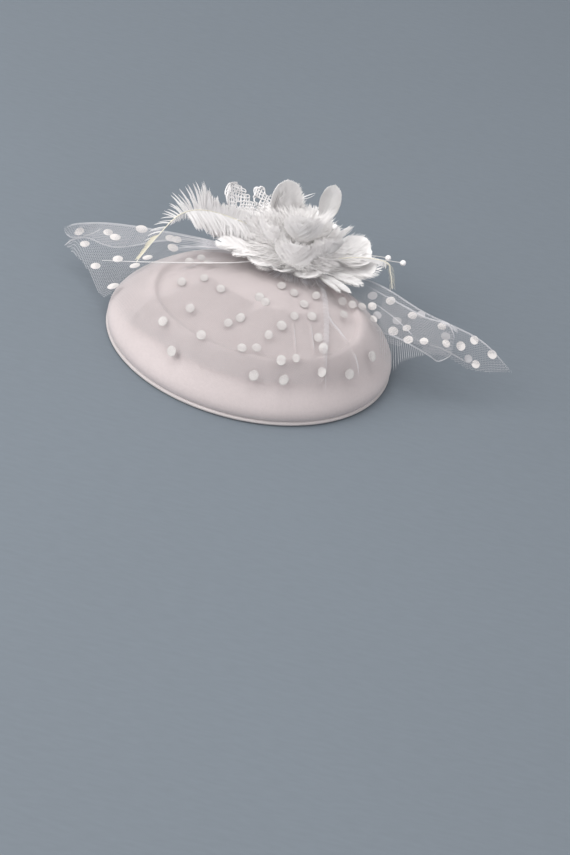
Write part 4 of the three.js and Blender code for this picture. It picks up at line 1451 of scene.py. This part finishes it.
def fluff(shape, count, barb_width, rng):
    """Loose barbs that stand out of the puff all round, longest to the sides."""
    turn = rng.uniform(0, math.tau, count)
    lift = np.arcsin(rng.uniform(-0.06, 1.0, count))
    out = np.column_stack([np.cos(turn) * np.cos(lift), np.sin(turn) * np.cos(lift), np.sin(lift)])
    size = np.array([PUFF["radius"], PUFF["radius"], PUFF["rise"]])
    roots = np.array([*FLOWER, PUFF["middle"]]) + out * size * 0.84
    aim = out + rng.normal(0, 0.3, (count, 3))
    aim[:, 2] = np.abs(aim[:, 2]) * 0.9 + 0.04
    aim /= np.linalg.norm(aim, axis=1, keepdims=True)
    reach = 8 + 8 * aim[:, 0] ** 2 + 2 * aim[:, 2] ** 2 + 5 * np.maximum(-aim[:, 0], 0)
    reach *= rng.uniform(0.6, 1.1, count)
    widths = barb_width * rng.uniform(0.7, 1.2, count)
    facings = np.array([0, -0.6, 0.8]) + rng.normal(0, 0.25, (count, 3))
    return barbs_between(shape, roots, roots + aim * reach[:, None], widths, facings,
                         rng.normal(0, 0.06, count), rng.normal(0, 0.06, count))


def puff_dome(name):
    """The solid core of the puff: a ball pressed to an oval, with a narrower neck below."""
    centre = placed((*FLOWER, PUFF["middle"]))
    bpy.ops.mesh.primitive_uv_sphere_add(segments=40, ring_count=20, radius=PUFF["radius"] * MM * 0.9,
                                         location=centre)
    dome = named(bpy.context.object, name)
    bpy.ops.object.transform_apply()
    edit(dome, chosen="SELECT")
    bpy.ops.transform.resize(value=(1, 1, PUFF["rise"] / PUFF["radius"]), center_override=centre)
    neck = centre[2] - 1.6 * MM
    pick(dome, lambda co: co.z < neck)
    bpy.ops.transform.resize(value=(0.68, 0.68, 0), center_override=(centre[0], centre[1], neck))
    bpy.ops.transform.translate(value=(0, 0, -5.4 * MM))
    leave_edit()
    smooth(dome, 60)
    return dome


def build_puff(settings):
    """The flower's middle: a low dome with barbs and tufts standing out of it."""
    colour = settings.feather_colour
    name = "flower_middle"
    dome = puff_dome(name)
    paint(dome, feather_material("fluff_base", colour, tinted(colour, 0.92), FLUFF_STREAKS))
    finish = feather_material("fluff_barb", colour, tinted(colour, 0.95), BARB_STREAKS)
    rng = np.random.default_rng(SEEDS["puff"])
    shape = barb_shape()
    blocks = [fluff(shape, settings.fluff, settings.barb_width / MM, rng)]
    blocks += [tuft(shape, *spec, rng) for spec in TUFTS]
    parts = [piece_from(name, placed(points), faces, finish, uv) for points, faces, uv in blocks]
    piece = joined(name, [dome] + parts)
    smooth(piece, 60)
    keep_with(piece, "flower_puff")


def make_crooked(number):
    """Makes the grid in edit mode into slanting meshes of uneven size and shape."""
    bpy.ops.mesh.select_all(action="SELECT")
    bpy.ops.transform.vertex_random(offset=1.3 * MM, uniform=0.0, normal=0.0,
                                    seed=SEEDS["lace_bend"] + number)
    bpy.ops.mesh.poke()
    bpy.ops.mesh.select_all(action="SELECT")
    bpy.ops.mesh.tris_convert_to_quads(face_threshold=math.pi, shape_threshold=math.pi)
    bpy.ops.mesh.select_all(action="DESELECT")
    bpy.ops.mesh.select_mode(type="VERT")
    bpy.ops.mesh.select_random(ratio=0.04, seed=SEEDS["lace_gaps"] + number)
    bpy.ops.mesh.dissolve_verts()
    bpy.ops.mesh.select_all(action="SELECT")
    bpy.ops.transform.vertex_random(offset=0.8 * MM, uniform=0.0, normal=0.0,
                                    seed=SEEDS["lace_crook"] + number)
    bpy.ops.mesh.select_all(action="DESELECT")


def cut_ragged(grid, length, width, blunt, rng):
    """Deletes the faces of a grid in edit mode that lie outside a petal's ragged outline."""
    mesh = bmesh.from_edit_mesh(grid.data)
    for face in mesh.faces:
        middle = face.calc_center_median()
        edge = float(outline(middle.z / (length * MM), blunt)) * width / 2 * MM
        face.select = abs(middle.x) > edge * (1 - 0.3 * rng.random())
    bmesh.update_edit_mesh(grid.data)
    bpy.ops.mesh.delete(type="FACE")


def build_lace(settings):
    """The two openwork petals: a crooked grid cut to a ragged outline, turned to threads."""
    finish = cotton_material(settings.lace_colour)
    for number, (name, spec) in enumerate(LACE_PETALS.items()):
        bearing, root, slope, tip_slope, length, width, cup, roll, blunt = spec
        spare_width = width * LACE["spare"]
        columns, rows = round(spare_width / LACE["hole"]), round(length / LACE["hole"])
        petal = upright_grid(f"{name}_openwork", spare_width, length, columns, rows)
        edit(petal)
        draw_in(petal, length, rows, blunt)
        make_crooked(number)
        cut_ragged(petal, length, width, blunt, np.random.default_rng(SEEDS["lace_edge"] + number))
        leave_edit()
        modify(petal, "WIREFRAME", thickness=LACE["thread"] * MM, use_even_offset=False, use_boundary=True)
        modify(petal, "SUBSURF", levels=1, render_levels=1)
        bent_into_place(petal, length, width, cup, roll, slope, tip_slope,
                        seat_matrix(bearing, root, slope))
        smooth(petal, 70)
        paint(petal, finish)
        keep_with(petal, name)


def barbs_on_quill(shape, line, row, facing, rng):
    """One row of barbs on a quill that follows a line of points, all in millimetres."""
    (first, last), angles, reaches, count, width, _ = row
    run = np.concatenate([[0], np.cumsum(np.linalg.norm(np.diff(line, axis=0), axis=1))])
    share = (np.arange(count) + rng.uniform(0.1, 0.9, count)) / count
    at = (first + (last - first) * share) * run[-1]
    roots = np.column_stack([np.interp(at, run, line[:, k]) for k in range(3)])
    # Barbs cling together in clumps of about nine, which differ in turn and in length.
    clumps = 80
    clump = (share * count / 9).astype(int)
    turn = (np.interp(share, [0, 1], angles) + rng.normal(0, 2.0, clumps)[clump]
            + rng.normal(0, 1.2, count))
    reach = np.interp(share, [0, 1], reaches) * (1 + rng.normal(0, 0.09, clumps)[clump])
    reach *= rng.uniform(0.82, 1.04, count)
    turn = np.radians(turn)
    aim = np.column_stack([np.cos(turn), rng.normal(-0.06, 0.07, count), np.sin(turn)])
    facings = np.tile(facing, (count, 1)) + rng.normal(0, 0.12, (count, 3))
    bend = np.full(count, 0.05) * np.sign(angles[0]) + rng.normal(0, 0.02, count)
    return barbs_between(shape, roots, roots + aim * reach[:, None],
                         width * rng.uniform(0.75, 1.2, count), facings, bend, rng.normal(0, 0.03, count))


def build_long_feather(name, node, quill, rows, radius, seed, finishes):
    """A long curled feather: a tapering cream quill with rows of barbs."""
    line = smooth_line(quill, 90)
    parts = [strand(name, line, radius, tip=0.5)]
    paint(parts[0], finishes["quill"])
    facing = np.array(Vector((0, -1, 0.15)).normalized())
    rng = np.random.default_rng(seed)
    shape = barb_shape()
    for row in rows:
        points, faces, uv = barbs_on_quill(shape, line, row, facing, rng)
        parts.append(piece_from(name, placed(points), faces, finishes[row[-1]], uv))
    piece = joined(name, parts)
    smooth(piece, 60)
    keep_with(piece, node)


def build_long_feathers(settings):
    """The long feathers that curl down on the left and on the right."""
    colour, cream = settings.feather_colour, settings.quill_colour
    finishes = {
        "quill": quill_material("cream_quill", cream),
        "barb": feather_material("long_barb", colour, tinted(colour, 0.95), BARB_STREAKS),
        "cream": feather_material("cream_barb", tinted(cream, 1.05), tinted(cream, 0.95), BARB_STREAKS),
        "soft": feather_material("soft_barb", tinted(cream, 0.92), tinted(cream, 0.78), BARB_STREAKS),
    }
    radius = settings.quill_radius
    build_long_feather("long_feather_left", "feather_left", QUILL_LEFT, BARBS_LEFT, radius,
                       SEEDS["left_feather"], finishes)
    build_long_feather("long_feather_right", "feather_right", QUILL_RIGHT, BARBS_RIGHT, radius * 0.8,
                       SEEDS["right_feather"], finishes)


def build_filament(settings):
    """A stripped quill, nearly straight, that lies across the left side of the hat."""
    line = smooth_line(FILAMENT, 60)
    piece = strand("bare_filament", line, FILAMENT_RADIUS * MM, tip=0.3)
    smooth(piece, 60)
    paint(piece, quill_material("stripped_quill", tinted(settings.feather_colour, 0.82)))
    keep_with(piece, "filament")


def pearl_at(name, spot, along):
    """A pearl with a small drilled collar where its wire goes in."""
    bpy.ops.mesh.primitive_uv_sphere_add(segments=32, ring_count=18, radius=PEARL_RADIUS * MM)
    pearl = named(bpy.context.object, name)
    edit(pearl, "FACE")
    cap = -0.93 * PEARL_RADIUS * MM
    pick(pearl, lambda co: co.z < cap)
    bpy.ops.mesh.extrude_region_move(TRANSFORM_OT_translate={"value": (0, 0, -0.18 * PEARL_RADIUS * MM)})
    bpy.ops.transform.resize(value=(0.72, 0.72, 0.3), center_override=(0, 0, -1.1 * PEARL_RADIUS * MM))
    leave_edit()
    aim = Vector(along).to_track_quat("Z", "Y").to_matrix().to_4x4()
    settle(pearl, Matrix.Translation(Vector(placed(spot))) @ aim)
    return pearl


def build_stamens(settings):
    """Pearl-headed wires that stand out of the flower."""
    finishes = {
        "wire": quill_material("wound_wire", tinted(settings.pearl_colour, 0.7)),
        "pearl": pearl_material(settings.pearl_colour),
    }
    for name, (root, head) in STAMENS.items():
        root, head = np.array(root), np.array(head)
        along = (head - root) / np.linalg.norm(head - root)
        middle = (root + head) / 2 + np.array([0, 0, -0.8])
        line = smooth_line([root, middle, head - along * PEARL_RADIUS * 0.9], 24)
        wire = strand(name, line, STAMEN_RADIUS * MM)
        paint(wire, finishes["wire"])
        head_piece = pearl_at(name, head, along)
        paint(head_piece, finishes["pearl"])
        piece = joined(f"{name}_pearl", [wire, head_piece])
        smooth(piece, 60)
        keep_with(piece, name)


def finish_comb(settings):
    """The comb keeps its own shape and gets clear plastic."""
    comb = frame["nodes"]["comb"]
    paint(comb, plastic_material(settings.comb_colour))


# ---------- stage ----------

def soft_light(name, spot, size, energy, colour):
    """A large soft lamp that looks at the part."""
    light = bpy.data.lights.new(name, "AREA")
    light.shape = "DISK"
    light.size = size
    light.energy = energy
    light.color = colour
    lamp = bpy.data.objects.new(name, light)
    bpy.context.scene.collection.objects.link(lamp)
    lamp.location = spot
    lamp.rotation_euler = (Vector(LAMP_AIM) - Vector(spot)).to_track_quat("-Z", "Y").to_euler()


def build_camera(settings):
    """The camera, which stands in front of the hat and is turned a little about its view."""
    rim = Vector(ORIGIN)
    elevation, roll = settings.elevation, settings.roll
    back = Vector((0, -math.cos(elevation), math.sin(elevation)))
    right = Vector((1, 0, 0))
    up = right.cross(-back)
    camera_right = math.cos(roll) * right + math.sin(roll) * up
    camera_up = -math.sin(roll) * right + math.cos(roll) * up
    camera = bpy.data.objects.new("camera", bpy.data.cameras.new("camera"))
    bpy.context.scene.collection.objects.link(camera)
    camera.data.lens = settings.lens
    camera.data.clip_start, camera.data.clip_end = 0.02, 50
    camera.location = rim + back * settings.distance
    aim = rim + camera_right * settings.aim_right - camera_up * settings.aim_down
    forward = (aim - camera.location).normalized()
    across = (camera_right - forward * camera_right.dot(forward)).normalized()
    upright = across.cross(forward)
    camera.rotation_euler = Matrix((across, upright, -forward)).transposed().to_euler()
    bpy.context.scene.camera = camera


def build_floor(settings):
    """A round floor whose edge sweeps up behind the part."""
    bpy.ops.mesh.primitive_circle_add(vertices=96, radius=FLOOR_RADIUS, fill_type="NGON",
                                      location=(0, 0, ORIGIN[2]))
    floor = named(bpy.context.object, "studio_floor")
    edit(floor, chosen="SELECT")
    bpy.ops.mesh.inset(thickness=0.4)
    pick(floor, lambda co: co.xy.length > FLOOR_RADIUS - 0.2)
    for grow, rise in FLOOR_SWEEP:
        bpy.ops.mesh.extrude_edges_move()
        bpy.ops.transform.resize(value=(grow, grow, 1), center_override=(0, 0, 0))
        bpy.ops.transform.translate(value=(0, 0, rise))
    leave_edit()
    settle(floor)
    smooth(floor, 60)
    paint(floor, floor_material(settings.floor_colour))


def build_stage(settings):
    """Camera, floor with a swept-up edge, soft light and a pale surround."""
    build_camera(settings)
    build_floor(settings)
    for name, lamp in LAMPS.items():
        soft_light(name, *lamp)
    world = bpy.data.worlds.new("studio")
    world.use_nodes = True
    background = world.node_tree.nodes["Background"]
    background.inputs["Color"].default_value = (*SURROUND["colour"], 1)
    background.inputs["Strength"].default_value = SURROUND["strength"]
    bpy.context.scene.world = world
    bpy.context.scene.view_settings.view_transform = "Standard"


# ---------- operators ----------

class BuildStage(bpy.types.Operator):
    """Make the camera, the floor and the soft light"""
    bl_idname = "fascinator.stage"
    bl_label = "Stage"
    bl_options = {"REGISTER", "UNDO"}

    def execute(self, context):
        build_stage(context.scene.fascinator_stage)
        return {"FINISHED"}


class BuildHatBase(bpy.types.Operator):
    """Draw the felt hat up from its rim"""
    bl_idname = "fascinator.hat_base"
    bl_label = "Felt hat"
    bl_options = {"REGISTER", "UNDO"}

    def execute(self, context):
        build_hat_base(context.scene.fascinator_hat)
        return {"FINISHED"}


class BuildRimBinding(bpy.types.Operator):
    """Bind the rim's edge"""
    bl_idname = "fascinator.rim_binding"
    bl_label = "Rim binding"
    bl_options = {"REGISTER", "UNDO"}

    def execute(self, context):
        build_rim_binding(context.scene.fascinator_hat)
        return {"FINISHED"}


class FinishComb(bpy.types.Operator):
    """Give the comb its clear plastic"""
    bl_idname = "fascinator.comb"
    bl_label = "Comb"
    bl_options = {"REGISTER", "UNDO"}

    def execute(self, context):
        finish_comb(context.scene.fascinator_hat)
        return {"FINISHED"}


class BuildVeil(bpy.types.Operator):
    """Lay the dotted net over the hat and out to both sides"""
    bl_idname = "fascinator.veil"
    bl_label = "Net veil"
    bl_options = {"REGISTER", "UNDO"}

    def execute(self, context):
        build_veil(context.scene.fascinator_veil)
        return {"FINISHED"}


class BuildPuff(bpy.types.Operator):
    """Make the fluffy middle of the flower"""
    bl_idname = "fascinator.puff"
    bl_label = "Flower middle"
    bl_options = {"REGISTER", "UNDO"}

    def execute(self, context):
        build_puff(context.scene.fascinator_flower)
        return {"FINISHED"}


class BuildPetals(bpy.types.Operator):
    """Set the feather petals round the middle"""
    bl_idname = "fascinator.petals"
    bl_label = "Feather petals"
    bl_options = {"REGISTER", "UNDO"}

    def execute(self, context):
        build_petals(context.scene.fascinator_flower)
        return {"FINISHED"}


class BuildLace(bpy.types.Operator):
    """Make the openwork petals"""
    bl_idname = "fascinator.lace"
    bl_label = "Lace petals"
    bl_options = {"REGISTER", "UNDO"}

    def execute(self, context):
        build_lace(context.scene.fascinator_flower)
        return {"FINISHED"}


class BuildLongFeathers(bpy.types.Operator):
    """Make the long curled feathers"""
    bl_idname = "fascinator.long_feathers"
    bl_label = "Long feathers"
    bl_options = {"REGISTER", "UNDO"}

    def execute(self, context):
        build_long_feathers(context.scene.fascinator_flower)
        return {"FINISHED"}


class BuildFilament(bpy.types.Operator):
    """Lay the bare quill over the left side"""
    bl_idname = "fascinator.filament"
    bl_label = "Bare quill"
    bl_options = {"REGISTER", "UNDO"}

    def execute(self, context):
        build_filament(context.scene.fascinator_flower)
        return {"FINISHED"}


class BuildStamens(bpy.types.Operator):
    """Set the pearl-headed stamens"""
    bl_idname = "fascinator.stamens"
    bl_label = "Stamens"
    bl_options = {"REGISTER", "UNDO"}

    def execute(self, context):
        build_stamens(context.scene.fascinator_flower)
        return {"FINISHED"}


OPERATORS = [BuildStage, BuildHatBase, BuildRimBinding, FinishComb, BuildVeil, BuildPuff, BuildPetals,
             BuildLace, BuildLongFeathers, BuildFilament, BuildStamens]


class FascinatorPanel(bpy.types.Panel):
    """Lists the pieces of the fascinator"""
    bl_idname = "VIEW3D_PT_fascinator"
    bl_label = "Fascinator"
    bl_space_type = "VIEW_3D"
    bl_region_type = "UI"
    bl_category = "Fascinator"

    def draw(self, context):
        column = self.layout.column()
        for operator in OPERATORS:
            column.operator(operator.bl_idname)


def register():
    """Registers the settings, the operators and the panel."""
    for key, settings in SETTINGS.items():
        bpy.utils.register_class(settings)
        setattr(bpy.types.Scene, key, PointerProperty(type=settings))
    for operator in OPERATORS:
        bpy.utils.register_class(operator)
    bpy.utils.register_class(FascinatorPanel)


def unregister():
    """Takes away what register added."""
    bpy.utils.unregister_class(FascinatorPanel)
    for operator in reversed(OPERATORS):
        bpy.utils.unregister_class(operator)
    for key, settings in SETTINGS.items():
        delattr(bpy.types.Scene, key)
        bpy.utils.unregister_class(settings)


def main():
    """Builds every piece in turn."""
    register()
    bpy.ops.fascinator.stage()
    bpy.ops.fascinator.hat_base()
    bpy.ops.fascinator.rim_binding()
    bpy.ops.fascinator.comb()
    bpy.ops.fascinator.veil()
    bpy.ops.fascinator.puff()
    bpy.ops.fascinator.petals()
    bpy.ops.fascinator.lace()
    bpy.ops.fascinator.long_feathers()
    bpy.ops.fascinator.filament()
    bpy.ops.fascinator.stamens()
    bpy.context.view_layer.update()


if __name__ == "__main__":
    main()
